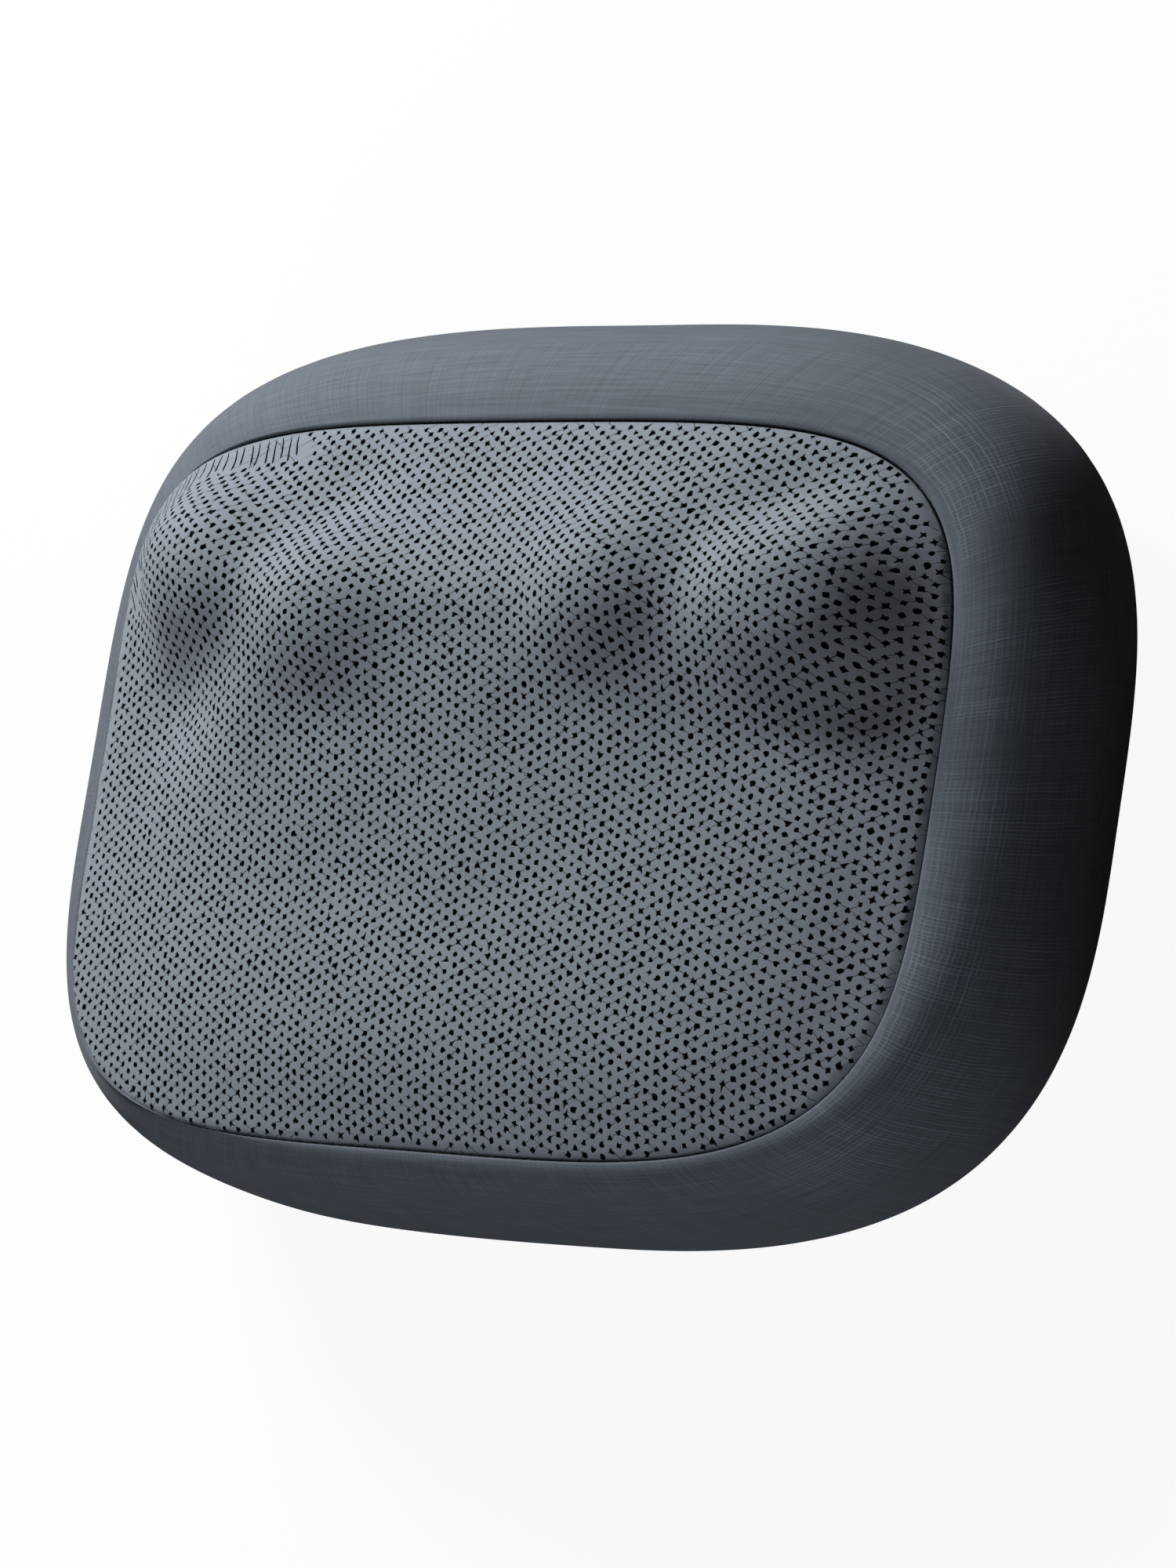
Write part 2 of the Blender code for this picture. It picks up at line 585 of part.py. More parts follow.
def make_head(tag, place):
    """A ribbed, domed head that turns freely on its shoulder screw."""
    bottom, top = HEAD_Z
    recess, floor = HEAD_RECESS
    bore = PIN_RADIUS + GAP
    rise = top - bottom
    dome = [(0.93, 0.0), (1.0, 0.12), (0.99, 0.42), (0.86, 0.72), (0.62, 0.93)]
    profile = [(HEAD_RADIUS * reach, bottom + rise * height) for reach, height in dome]
    profile += [(recess + 0.0012, top), (recess, top - 0.0006), (recess, floor)]
    profile += [(bore, floor), (bore, bottom)]
    turned(f"massage_head_{tag}", profile, "head_plastic", centre=place, sides=16, bored=True,
           rib=(HEAD_RIB, recess), origin=(place.x, place.y, bottom))
    screw = [(PIN_RADIUS, ARM_Z[0] + 0.0005), (PIN_RADIUS, floor + GAP),
             (0.005, floor + GAP), (0.0046, floor + 0.0026)]
    turned(f"head_screw_{tag}", screw, "steel", centre=place, sides=12)


# ---------------------------------------------------------------- controls and wiring

def make_controls():
    """The control plate with its button, light ring, socket and circuit board."""
    half_y, half_z = PLATE_HALF
    front, back = PLATE_X
    outline = [(p.x, p.y + PLATE_Z) for p in rounded((half_y, half_z), (5, 5), steps=20)]
    inside = [(p.x, p.y + PLATE_Z) for p in rounded((half_y - 0.002, half_z - 0.002), (5, 5), steps=20)]
    rings = [[(x, y, z) for y, z in ring] for ring, x in (
        (outline, front), (outline, back), (inside, back), (inside, front + 0.0024))]
    plate = loft("control_plate", rings, "trim_plastic")
    for tag, y, radius in (("button", BUTTON_Y, BUTTON_RADIUS), ("jack", JACK_Y, JACK_RADIUS)):
        cut(plate, rod(f"{tag}_hole", radius + GAP, (-0.17, -0.16), "trim_plastic",
                       centre=(y, PLATE_Z), axis="X", sides=20))
    ring_radii = (BUTTON_RADIUS + 0.0016, BUTTON_RADIUS + 0.003)
    groove = tube("ring_groove", ring_radii[1] + GAP, ring_radii[0] - GAP, (-0.17, front + 0.001),
                  "trim_plastic", centre=(BUTTON_Y, PLATE_Z), axis="X", sides=20)
    cut(plate, groove)
    tube("light_ring", ring_radii[1], ring_radii[0], (front - 0.0002, front + 0.001 - GAP), "light_lens",
         centre=(BUTTON_Y, PLATE_Z), axis="X", sides=20)
    cap = BUTTON_RADIUS
    turned("power_button", [
        (cap - 0.0008, front - 0.0012), (cap, front - 0.0004), (cap, front + 0.004),
        (0.003, front + 0.004), (0.003, -0.152),
    ], "trim_plastic", centre=(BUTTON_Y, PLATE_Z), axis="X", sides=20)
    jack = rod("dc_jack", JACK_RADIUS, (front + 0.0002, -0.1525), "trim_plastic",
               centre=(JACK_Y, PLATE_Z), axis="X")
    cut(jack, tube("jack_socket", 0.0029, 0.001, (-0.17, front + 0.009), "trim_plastic",
                   centre=(JACK_Y, PLATE_Z), axis="X", sides=16))

    board = box("control_board", (BOARD_X[0], -0.026, PLATE_Z - 0.013),
                (BOARD_X[1], 0.026, PLATE_Z + 0.013), "circuit_board")
    join(board, box("push_switch", (BOARD_X[0] - 0.0016, BUTTON_Y - 0.003, PLATE_Z - 0.003),
                    (BOARD_X[0] + 0.0005, BUTTON_Y + 0.003, PLATE_Z + 0.003), "circuit_board"))


def make_heater():
    """The lamp board between the arms, with its two warming lamps."""
    top = FRAME_Z[1] + GAP + 0.0016
    box("lamp_board", (-0.011, ARM_Y - 0.028, FRAME_Z[1] + GAP), (0.011, ARM_Y + 0.028, top), "circuit_board")
    for i, y in enumerate((ARM_Y - 0.016, ARM_Y + 0.016)):
        profile = [(0.005, top + GAP)]
        profile += [(0.0048 * math.cos(turn), top + 0.004 + 0.0048 * math.sin(turn))
                    for turn in (0.0, math.pi / 6, math.pi / 3)]
        turned(f"heat_lamp_{i + 1}", profile + [(0, top + 0.0088)], "lamp_lens", centre=(0, y), sides=14)


def smooth_route(points, parts):
    """Points on a smooth curve through a route's own points."""
    points = [Vector(point) for point in points]
    padded = [2 * points[0] - points[1], *points, 2 * points[-1] - points[-2]]
    route = []
    for a, b, c, d in zip(padded, padded[1:], padded[2:], padded[3:]):
        for i in range(parts):
            t = i / parts
            route.append(0.5 * (2 * b + (c - a) * t + (2 * a - 5 * b + 4 * c - d) * t * t
                                + (3 * b - a - 3 * c + d) * t ** 3))
    return route + [points[-1]]


def make_lead():
    """The motor lead, from the circuit board through the foam and the frame to the motor's end."""
    route = smooth_route([
        (BOARD_X[1] + GAP, -0.014, 0.044), (-0.130, -0.014, 0.044), (-0.108, -0.014, 0.044),
        (-0.086, -0.020, 0.042), (-0.060, -0.038, 0.037), (-0.040, -0.058, 0.031),
        (-0.028, -0.0675, 0.030), (-0.0161, -0.069, 0.030),
    ], 3)
    curve = bpy.data.curves.new("motor_lead", "CURVE")
    curve.dimensions = "3D"
    curve.bevel_depth = 0.0016
    curve.bevel_resolution = 1
    curve.use_fill_caps = True
    spline = curve.splines.new("POLY")
    spline.points.add(len(route) - 1)
    for knot, place in zip(spline.points, route):
        knot.co = (*place, 1)
    curve.materials.append(finish_material("rubber"))
    bpy.context.collection.objects.link(bpy.data.objects.new("motor_lead", curve))


# ---------------------------------------------------------------- back of the pillow

def make_back_fittings():
    """The strap, its sewn patches, the zip with its slider and pull, and the feet."""
    below = BACK_Z - GAP
    box("elastic_strap", (-STRAP_HALF[0], STRAP_Y - STRAP_HALF[1], below - 0.0014),
        (STRAP_HALF[0], STRAP_Y + STRAP_HALF[1], below), "webbing")
    for name, side in (("left", -1), ("right", 1)):
        ends = sorted((side * (STRAP_HALF[0] - 0.014), side * (STRAP_HALF[0] + 0.004)))
        box(f"strap_patch_{name}", (ends[0], STRAP_Y - STRAP_HALF[1] - 0.002, below - 0.0026),
            (ends[1], STRAP_Y + STRAP_HALF[1] + 0.002, below - 0.0014 - GAP), "webbing")
    for i, place in enumerate(FOOT_PLACES):
        turned(f"foot_{i + 1}", [(FOOT_RADIUS - 0.001, 0), (FOOT_RADIUS, 0.001), (FOOT_RADIUS, below)],
               "rubber", centre=place, sides=16)

    section = [(-0.012, below), (0.012, below), (0.012, below - 0.0007), (0.003, below - 0.0007),
               (0.003, below - 0.0014), (-0.003, below - 0.0014), (-0.003, below - 0.0007),
               (-0.012, below - 0.0007)]
    rings = [[(x, ZIP_Y + y, z) for y, z in section] for x in (-ZIP_HALF_X, ZIP_HALF_X)]
    loft("zipper_tape", rings, "webbing")
    slider_x = -ZIP_HALF_X + 0.008
    low = below - 0.0014 - GAP
    slab("zipper_slider", [(x + slider_x, y + ZIP_Y) for x, y in (
        (-0.006, -0.0045), (0.002, -0.0045), (0.006, -0.003), (0.006, 0.003), (0.002, 0.0045),
        (-0.006, 0.0045))], (low - 0.0009, low), "steel", origin=(slider_x, ZIP_Y, low))
    hinge = (slider_x + 0.0072, ZIP_Y, low - 0.0005)
    slab("zipper_pull", [(hinge[0] + x, ZIP_Y + y) for x, y in (
        (0.0, -0.002), (0.004, -0.003), (0.020, -0.0035), (0.022, 0.0), (0.020, 0.0035),
        (0.004, 0.003), (0.0, 0.002))], (low - 0.0009, low - 0.0001), "steel", origin=hinge)


def main():
    """Builds the whole pillow in an empty scene."""
    for item in list(bpy.data.objects):
        bpy.data.objects.remove(item, do_unlink=True)
    make_cover()
    make_padding()
    make_base_shell()
    make_top_frame()
    make_gear_carrier()
    make_motor()
    make_worm()
    for name, side in (("left", -1), ("right", 1)):
        make_stepped_gear(name, side)
        make_arm(name, side)
    make_controls()
    make_heater()
    make_lead()
    make_back_fittings()


main()
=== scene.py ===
"""Looks of a shiatsu massage pillow: perforated front, stretch cover, sewn seam, back and controls.

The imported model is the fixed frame: +X runs along the pillow, +Y towards its top edge and +Z out of
its front. Lengths are in metres. Each sub-assembly is a class that builds and dresses its own pieces.
"""

from __future__ import annotations

import json
import logging
import math
from dataclasses import dataclass, field
from enum import Enum
from typing import Callable, Optional, Sequence, Union

import bpy
import numpy as np
from mathutils import Matrix, Vector
from mathutils.bvhtree import BVHTree
from mathutils.geometry import delaunay_2d_cdt


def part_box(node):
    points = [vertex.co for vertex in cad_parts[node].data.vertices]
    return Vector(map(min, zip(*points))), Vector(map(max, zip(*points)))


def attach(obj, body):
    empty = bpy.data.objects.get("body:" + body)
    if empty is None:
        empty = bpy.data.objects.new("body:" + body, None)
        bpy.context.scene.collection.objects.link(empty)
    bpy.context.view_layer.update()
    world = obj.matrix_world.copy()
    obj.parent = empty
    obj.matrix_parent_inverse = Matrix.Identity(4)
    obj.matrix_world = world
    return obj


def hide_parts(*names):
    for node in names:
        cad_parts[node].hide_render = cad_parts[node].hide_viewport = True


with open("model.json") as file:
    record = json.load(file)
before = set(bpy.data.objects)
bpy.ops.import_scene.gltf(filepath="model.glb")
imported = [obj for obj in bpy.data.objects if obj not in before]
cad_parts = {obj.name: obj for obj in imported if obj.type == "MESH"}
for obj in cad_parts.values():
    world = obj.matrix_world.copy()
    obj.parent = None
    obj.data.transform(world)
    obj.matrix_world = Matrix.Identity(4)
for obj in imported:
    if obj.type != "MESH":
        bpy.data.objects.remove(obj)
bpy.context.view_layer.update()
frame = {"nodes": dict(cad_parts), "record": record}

PILLOW = "pillow"
SIDES = {"left": -1, "right": 1}
LOG = logging.getLogger("pillow")
FULL_TURN = 2 * math.pi
HOLE_PITCH = (0.00266, 0.00315)
WHITE = (1.0, 1.0, 1.0, 1.0)

Colour = tuple[float, float, float]
Socket = bpy.types.NodeSocket
Value = Union[float, Socket]


class Slot(Enum):
    """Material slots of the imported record."""

    MESH = "mesh_fabric"
    COVER = "cover_fabric"
    THREAD = "seam_thread"
    LINING = "lining_fabric"
    WEBBING = "webbing"
    FOAM = "foam"
    HOUSING = "housing_plastic"
    TRIM = "trim_plastic"
    LIGHT = "light_lens"
    GEAR = "gear_plastic"
    HEAD = "head_plastic"
    LAMP = "lamp_lens"
    STEEL = "steel"
    BRASS = "brass"
    BOARD = "circuit_board"
    RUBBER = "rubber"


# ---------------------------------------------------------------- shader building

class ShaderTree:
    """Builds and links the nodes of one material or one node group."""

    def __init__(self, tree: bpy.types.NodeTree) -> None:
        """Keeps the tree that nodes go to."""
        self.tree = tree

    def add(self, kind: str, inputs: Optional[dict] = None, **settings: object) -> bpy.types.Node:
        """Adds a node.

        Args:
            kind: the node's type, without the ShaderNode prefix.
            inputs: values or sockets for its inputs, by name or number.
            settings: its other properties.

        Returns:
            The new node.
        """
        node = self.tree.nodes.new("ShaderNode" + kind)
        for name, value in settings.items():
            setattr(node, name, value)
        for name, value in (inputs or {}).items():
            self.feed(node.inputs[name], value)
        return node

    def feed(self, socket: Socket, value: object) -> None:
        """Links a socket to an input, or sets the input's own value."""
        if isinstance(value, bpy.types.NodeSocket):
            self.tree.links.new(value, socket)
        else:
            socket.default_value = value

    def maths(self, operation: str, a: Value, b: Value = 0.0, c: Value = 0.0) -> Socket:
        """Returns the result of one math operation on up to three values."""
        return self.add("Math", {0: a, 1: b, 2: c}, operation=operation).outputs[0]

    def tint(self, factor: Value, a: object, b: object, mode: str = "MIX") -> Socket:
        """Returns a blend of two colours."""
        node = self.add("Mix", data_type="RGBA", blend_type=mode)
        for name, value in (("Factor_Float", factor), ("A_Color", a), ("B_Color", b)):
            socket = next(s for s in node.inputs if s.identifier == name)
            self.feed(socket, value)
        return next(s for s in node.outputs if s.identifier == "Result_Color")

    def ramp(self, value: Value, low: float, high: float) -> Socket:
        """Returns a value rescaled so that low becomes 0 and high becomes 1, smoothly and clamped."""
        node = self.add("MapRange", {"Value": value, "From Min": low, "From Max": high},
                        interpolation_type="SMOOTHSTEP")
        return node.outputs["Result"]

    def noise(self, vector: Socket, scale: Value, detail: float = 2.0, roughness: float = 0.5) -> Socket:
        """Returns the value of a noise at a place."""
        node = self.add("TexNoise", {"Vector": vector, "Scale": scale, "Detail": detail,
                                     "Roughness": roughness})
        return node.outputs[0]

    def place(self) -> Socket:
        """Returns the place on the piece, in the frame's metres."""
        return self.add("TexCoord").outputs["Object"]

    def fix(self, node: bpy.types.Node, **values: float) -> None:
        """Sets a node's own input values, with underscores for spaces in their names."""
        for name, value in values.items():
            node.inputs[name.replace("_", " ")].default_value = value

    def group(self, tree: bpy.types.NodeTree, **inputs: object) -> bpy.types.Node:
        """Places a node group, with its inputs by name and underscores for spaces."""
        node = self.tree.nodes.new("ShaderNodeGroup")
        node.node_tree = tree
        for name, value in inputs.items():
            self.feed(node.inputs[name.replace("_", " ").title()], value)
        return node


class EffectLibrary:
    """Node groups for the effects that several finishes share, each built once."""

    KINDS = {"f": "NodeSocketFloat", "v": "NodeSocketVector", "c": "NodeSocketColor"}

    def __init__(self) -> None:
        """Starts with no groups built."""
        self._built: dict[str, bpy.types.NodeTree] = {}

    def _make(self, name: str, inputs: dict, outputs: dict, body: Callable) -> bpy.types.NodeTree:
        """Builds a group once.

        Args:
            name: the group's name.
            inputs: kind letter and default of each input, by name.
            outputs: kind letter of each output, by name.
            body: takes the shader tree and the input sockets, and returns the output sockets.

        Returns:
            The group's node tree.
        """
        if name in self._built:
            return self._built[name]
        tree = bpy.data.node_groups.new(name, "ShaderNodeTree")
        for label, (kind, default) in inputs.items():
            socket = tree.interface.new_socket(name=label, in_out="INPUT", socket_type=self.KINDS[kind])
            if default is not None:
                socket.default_value = default
        for label, kind in outputs.items():
            tree.interface.new_socket(name=label, in_out="OUTPUT", socket_type=self.KINDS[kind])
        entry, leave = tree.nodes.new("NodeGroupInput"), tree.nodes.new("NodeGroupOutput")
        made = body(ShaderTree(tree), {label: entry.outputs[label] for label in inputs})
        for label, socket in made.items():
            tree.links.new(socket, leave.inputs[label])
        self._built[name] = tree
        return tree

    @property
    def fibre(self) -> bpy.types.NodeTree:
        """Fine fuzz of fibres: a shade round 1 and a height in metres."""
        def body(t: ShaderTree, i: dict) -> dict:
            fine = t.noise(i["Place"], i["Scale"], 3.0, 0.65)
            coarse = t.noise(i["Place"], t.maths("MULTIPLY", i["Scale"], 0.22), 2.0)
            mixed = t.maths("ADD", t.maths("MULTIPLY", fine, 0.65), t.maths("MULTIPLY", coarse, 0.35))
            away = t.maths("SUBTRACT", mixed, 0.5)
            return {"Shade": t.maths("MULTIPLY_ADD", away, i["Contrast"], 1.0),
                    "Height": t.maths("MULTIPLY", mixed, i["Relief"])}
        return self._make("fibre_fuzz", {"Place": ("v", None), "Scale": ("f", 4000.0),
                                         "Contrast": ("f", 0.6), "Relief": ("f", 0.0001)},
                          {"Shade": "f", "Height": "f"}, body)

    @property
    def threads(self) -> bpy.types.NodeTree:
        """Uneven threads that run both ways over a cloth: streaks along and across its own axes."""
        def body(t: ShaderTree, i: dict) -> dict:
            split = t.add("SeparateXYZ", {0: i["Cloth"]}).outputs
            streaks = []
            for along, across in ((split[0], split[1]), (split[1], split[0])):
                vector = t.add("CombineXYZ", {
                    0: t.maths("DIVIDE", along, i["Length"]),
                    1: t.maths("DIVIDE", across, i["Pitch"]),
                }).outputs[0]
                streaks.append(t.noise(vector, 1.0, 1.5, 0.6))
            both = t.maths("ADD", t.maths("MULTIPLY", streaks[0], t.maths("SUBTRACT", 1.0, i["Balance"])),
                           t.maths("MULTIPLY", streaks[1], i["Balance"]))
            away = t.maths("SUBTRACT", both, 0.5)
            return {"Shade": t.maths("MULTIPLY_ADD", away, i["Contrast"], 1.0),
                    "Height": t.maths("MULTIPLY", both, i["Relief"])}
        return self._make("cloth_threads", {
            "Cloth": ("v", None), "Pitch": ("f", 0.0008), "Length": ("f", 0.02), "Balance": ("f", 0.5),
            "Contrast": ("f", 0.5), "Relief": ("f", 0.0001)}, {"Shade": "f", "Height": "f"}, body)

    @property
    def open_knit(self) -> bpy.types.NodeTree:
        """Separate threads of an opened knit, both ways: two masks, along and across, with wavy lines."""
        def body(t: ShaderTree, i: dict) -> dict:
            split = t.add("SeparateXYZ", {0: i["Cloth"]}).outputs
            wave = t.noise(i["Place"], 160.0, 2.0)
            made = {}
            for label, place, pitch in (("Along", split[1], i["Along Pitch"]),
                                        ("Across", split[0], i["Across Pitch"])):
                run = t.maths("ADD", t.maths("DIVIDE", place, pitch), t.maths("MULTIPLY", wave, 1.1))
                away = t.maths("ABSOLUTE", t.maths("SUBTRACT", t.maths("FRACT", run), 0.5))
                line = t.maths("SUBTRACT", 1.0, t.ramp(away, 0.05, 0.24))
                number = t.add("CombineXYZ", {0: t.maths("FLOOR", run), 2: 0.5}).outputs[0]
                chance = t.add("TexWhiteNoise", {"Vector": number}).outputs["Value"]
                made[label] = t.maths("MULTIPLY", line, t.maths("MULTIPLY_ADD", chance, 0.7, 0.3))
            return made
        return self._make("open_knit", {"Place": ("v", None), "Cloth": ("v", None),
                                        "Along Pitch": ("f", 0.0016), "Across Pitch": ("f", 0.0011)},
                          {"Along": "f", "Across": "f"}, body)

    @property
    def drift(self) -> bpy.types.NodeTree:
        """A colour that drifts a little lighter and darker over the piece."""
        def body(t: ShaderTree, i: dict) -> dict:
            wide = t.noise(i["Place"], i["Scale"], 3.0, 0.55)
            share = t.maths("MULTIPLY_ADD", t.maths("SUBTRACT", wide, 0.5), i["Spread"], 1.0)
            shade = t.maths("MULTIPLY", share, i["Shade"])
            grey = t.add("CombineXYZ", {0: shade, 1: shade, 2: shade}).outputs[0]
            return {"Colour": t.tint(1.0, i["Colour"], grey, "MULTIPLY")}
        return self._make("colour_drift", {
            "Place": ("v", None), "Colour": ("c", (0.5, 0.5, 0.5, 1.0)), "Shade": ("f", 1.0),
            "Scale": ("f", 12.0), "Spread": ("f", 0.2)}, {"Colour": "c"}, body)

    @property
    def wear(self) -> bpy.types.NodeTree:
        """Worn edges: a mask that is 1 on outward edges, broken up by noise."""
        def body(t: ShaderTree, i: dict) -> dict:
            point = t.add("NewGeometry").outputs["Pointiness"]
            edge = t.ramp(point, 0.52, 0.6)
            broken = t.ramp(t.noise(i["Place"], 500.0, 3.0), 0.35, 0.7)
            return {"Mask": t.maths("MULTIPLY", t.maths("MULTIPLY", edge, broken), i["Amount"])}
        return self._make("edge_wear", {"Place": ("v", None), "Amount": ("f", 0.5)}, {"Mask": "f"}, body)

    @property
    def grain(self) -> bpy.types.NodeTree:
        """Moulded grain: a height in metres and a roughness that varies with it."""
        def body(t: ShaderTree, i: dict) -> dict:
            cells = t.add("TexVoronoi", {"Vector": i["Place"], "Scale": i["Scale"]}).outputs["Distance"]
            cloudy = t.noise(i["Place"], 60.0, 2.0)
            rough = t.maths("MULTIPLY_ADD", t.maths("SUBTRACT", cloudy, 0.5), 0.25, i["Roughness"])
            return {"Height": t.maths("MULTIPLY", cells, i["Relief"]), "Roughness": rough}
        return self._make("moulded_grain", {
            "Place": ("v", None), "Scale": ("f", 2500.0), "Relief": ("f", 0.00005),
            "Roughness": ("f", 0.5)}, {"Height": "f", "Roughness": "f"}, body)

    @property
    def dust(self) -> bpy.types.NodeTree:
        """Dust that settles on what faces up: a mask."""
        def body(t: ShaderTree, i: dict) -> dict:
            up = t.add("SeparateXYZ", {0: t.add("NewGeometry").outputs["Normal"]}).outputs[2]
            patchy = t.ramp(t.noise(i["Place"], 180.0, 4.0, 0.7), 0.45, 0.8)
            return {"Mask": t.maths("MULTIPLY", t.maths("MULTIPLY", t.ramp(up, 0.3, 1.0), patchy),
                                    i["Amount"])}
        return self._make("dust_film", {"Place": ("v", None), "Amount": ("f", 0.1)}, {"Mask": "f"}, body)


EFFECTS = EffectLibrary()


# ---------------------------------------------------------------- finishes

@dataclass(frozen=True)
class Finish:
    """A finish of one material slot; kinds of finish add their own surface."""

    slot: Slot
    colour: Colour
    roughness: float = 0.8
    name: str = ""
    drift_scale: float = 14.0
    drift_spread: float = 0.16

    def material(self) -> bpy.types.Material:
        """Returns the material of this finish, built on first use."""
        name = self.name or self.slot.value
        found = bpy.data.materials.get("look_" + name)
        if found:
            return found
        material = bpy.data.materials.new("look_" + name)
        material.use_nodes = True
        material.node_tree.nodes.clear()
        tree = ShaderTree(material.node_tree)
        shader = tree.add("BsdfPrincipled", {"Roughness": self.roughness})
        out = tree.add("OutputMaterial")
        tree.feed(out.inputs["Surface"], shader.outputs[0])
        self.dress(tree, shader)
        return material

    def dress(self, tree: ShaderTree, shader: bpy.types.Node) -> None:
        """Feeds the shader; a kind of finish overrides it."""
        raise NotImplementedError

    @property
    def rgba(self) -> tuple[float, float, float, float]:
        """The finish's own colour with full alpha."""
        return (*self.colour, 1.0)

    def drifting(self, tree: ShaderTree, place: Socket, shade: Value) -> Socket:
        """Returns the finish's shaded colour, drifting slowly over the piece."""
        return tree.group(EFFECTS.drift, place=place, colour=self.rgba, shade=shade,
                          scale=self.drift_scale, spread=self.drift_spread).outputs["Colour"]

    def bump(self, tree: ShaderTree, shader: bpy.types.Node, height: Socket, strength: float) -> None:
        """Feeds a height in metres to the shader's normal."""
        node = tree.add("Bump", {"Height": height, "Distance": 1.0, "Strength": strength})
        tree.feed(shader.inputs["Normal"], node.outputs[0])


@dataclass(frozen=True)
class ClothFinish(Finish):
    """A knitted or woven cloth whose threads follow the piece's cloth attribute."""

    pitch: float = 0.0009
    length: float = 0.025
    balance: float = 0.5
    contrast: float = 0.5
    fuzz: float = 0.35
    relief: float = 0.00012
    sheen: float = 0.25

    def dress(self, tree: ShaderTree, shader: bpy.types.Node) -> None:
        """Threads both ways, fuzz and slow drift of the colour."""
        place = tree.place()
        cloth = tree.add("Attribute", attribute_name="cloth", attribute_type="GEOMETRY").outputs["Vector"]
        threads = tree.group(EFFECTS.threads, cloth=cloth, pitch=self.pitch, length=self.length,
                             balance=self.balance, contrast=self.contrast, relief=self.relief).outputs
        fibre = tree.group(EFFECTS.fibre, place=place, scale=5200.0, contrast=self.fuzz,
                           relief=self.relief * 0.8).outputs
        shade = tree.maths("MULTIPLY", threads["Shade"], fibre["Shade"])
        colour = self.drifting(tree, place, shade)
        tree.feed(shader.inputs["Base Color"], colour)
        tree.fix(shader, Sheen_Weight=self.sheen, Sheen_Roughness=0.45, Specular_IOR_Level=0.25)
        self.bump(tree, shader, tree.maths("ADD", threads["Height"], fibre["Height"]), 0.55)


@dataclass(frozen=True)
class StretchFinish(ClothFinish):
    """The stretch cover: a smooth knit whose threads open where it is pulled round the right end."""

    open_from: tuple[float, float] = (0.085, 0.135)
    hem: tuple[float, float] = (0.0022, 0.0036)
    grid_ends: tuple[float, float] = (0.020, 0.034)
    cross_ends: tuple[float, float] = (0.036, 0.062)
    opened: float = 0.75

    def dress(self, tree: ShaderTree, shader: bpy.types.Node) -> None:
        """Adds the opened threads to the smooth knit."""
        super().dress(tree, shader)
        place = tree.place()
        cloth = tree.add("Attribute", attribute_name="cloth", attribute_type="GEOMETRY").outputs["Vector"]
        down = tree.add("SeparateXYZ", {0: cloth}).outputs[1]
        x = tree.add("SeparateXYZ", {0: place}).outputs[0]
        knit = tree.group(EFFECTS.open_knit, place=place, cloth=cloth, along_pitch=0.0016,
                          across_pitch=0.00105).outputs
        patchy = tree.ramp(tree.noise(place, 26.0, 2.0), 0.3, 0.62)
        below_hem = tree.ramp(down, *self.hem)
        where = tree.maths("MULTIPLY", tree.ramp(x, *self.open_from),
                           tree.maths("MULTIPLY", below_hem, patchy))
        grid = tree.maths("MULTIPLY", knit["Along"],
                          tree.maths("SUBTRACT", 1.0, tree.ramp(down, *self.grid_ends)))
        cross = tree.maths("MULTIPLY", knit["Across"],
                           tree.maths("SUBTRACT", 1.0, tree.ramp(down, *self.cross_ends)))
        lines = tree.maths("MULTIPLY", tree.maths("MAXIMUM", grid, cross), where)
        hem = tree.maths("MULTIPLY", tree.maths("SUBTRACT", 1.0, below_hem), 0.12)
        gain = tree.maths("ADD", tree.maths("MULTIPLY_ADD", lines, self.opened, 0.86), hem)
        shade = tree.add("CombineXYZ", {0: gain, 1: gain, 2: gain}).outputs[0]
        base = shader.inputs["Base Color"].links[0].from_socket
        tree.feed(shader.inputs["Base Color"], tree.tint(1.0, base, shade, "MULTIPLY"))


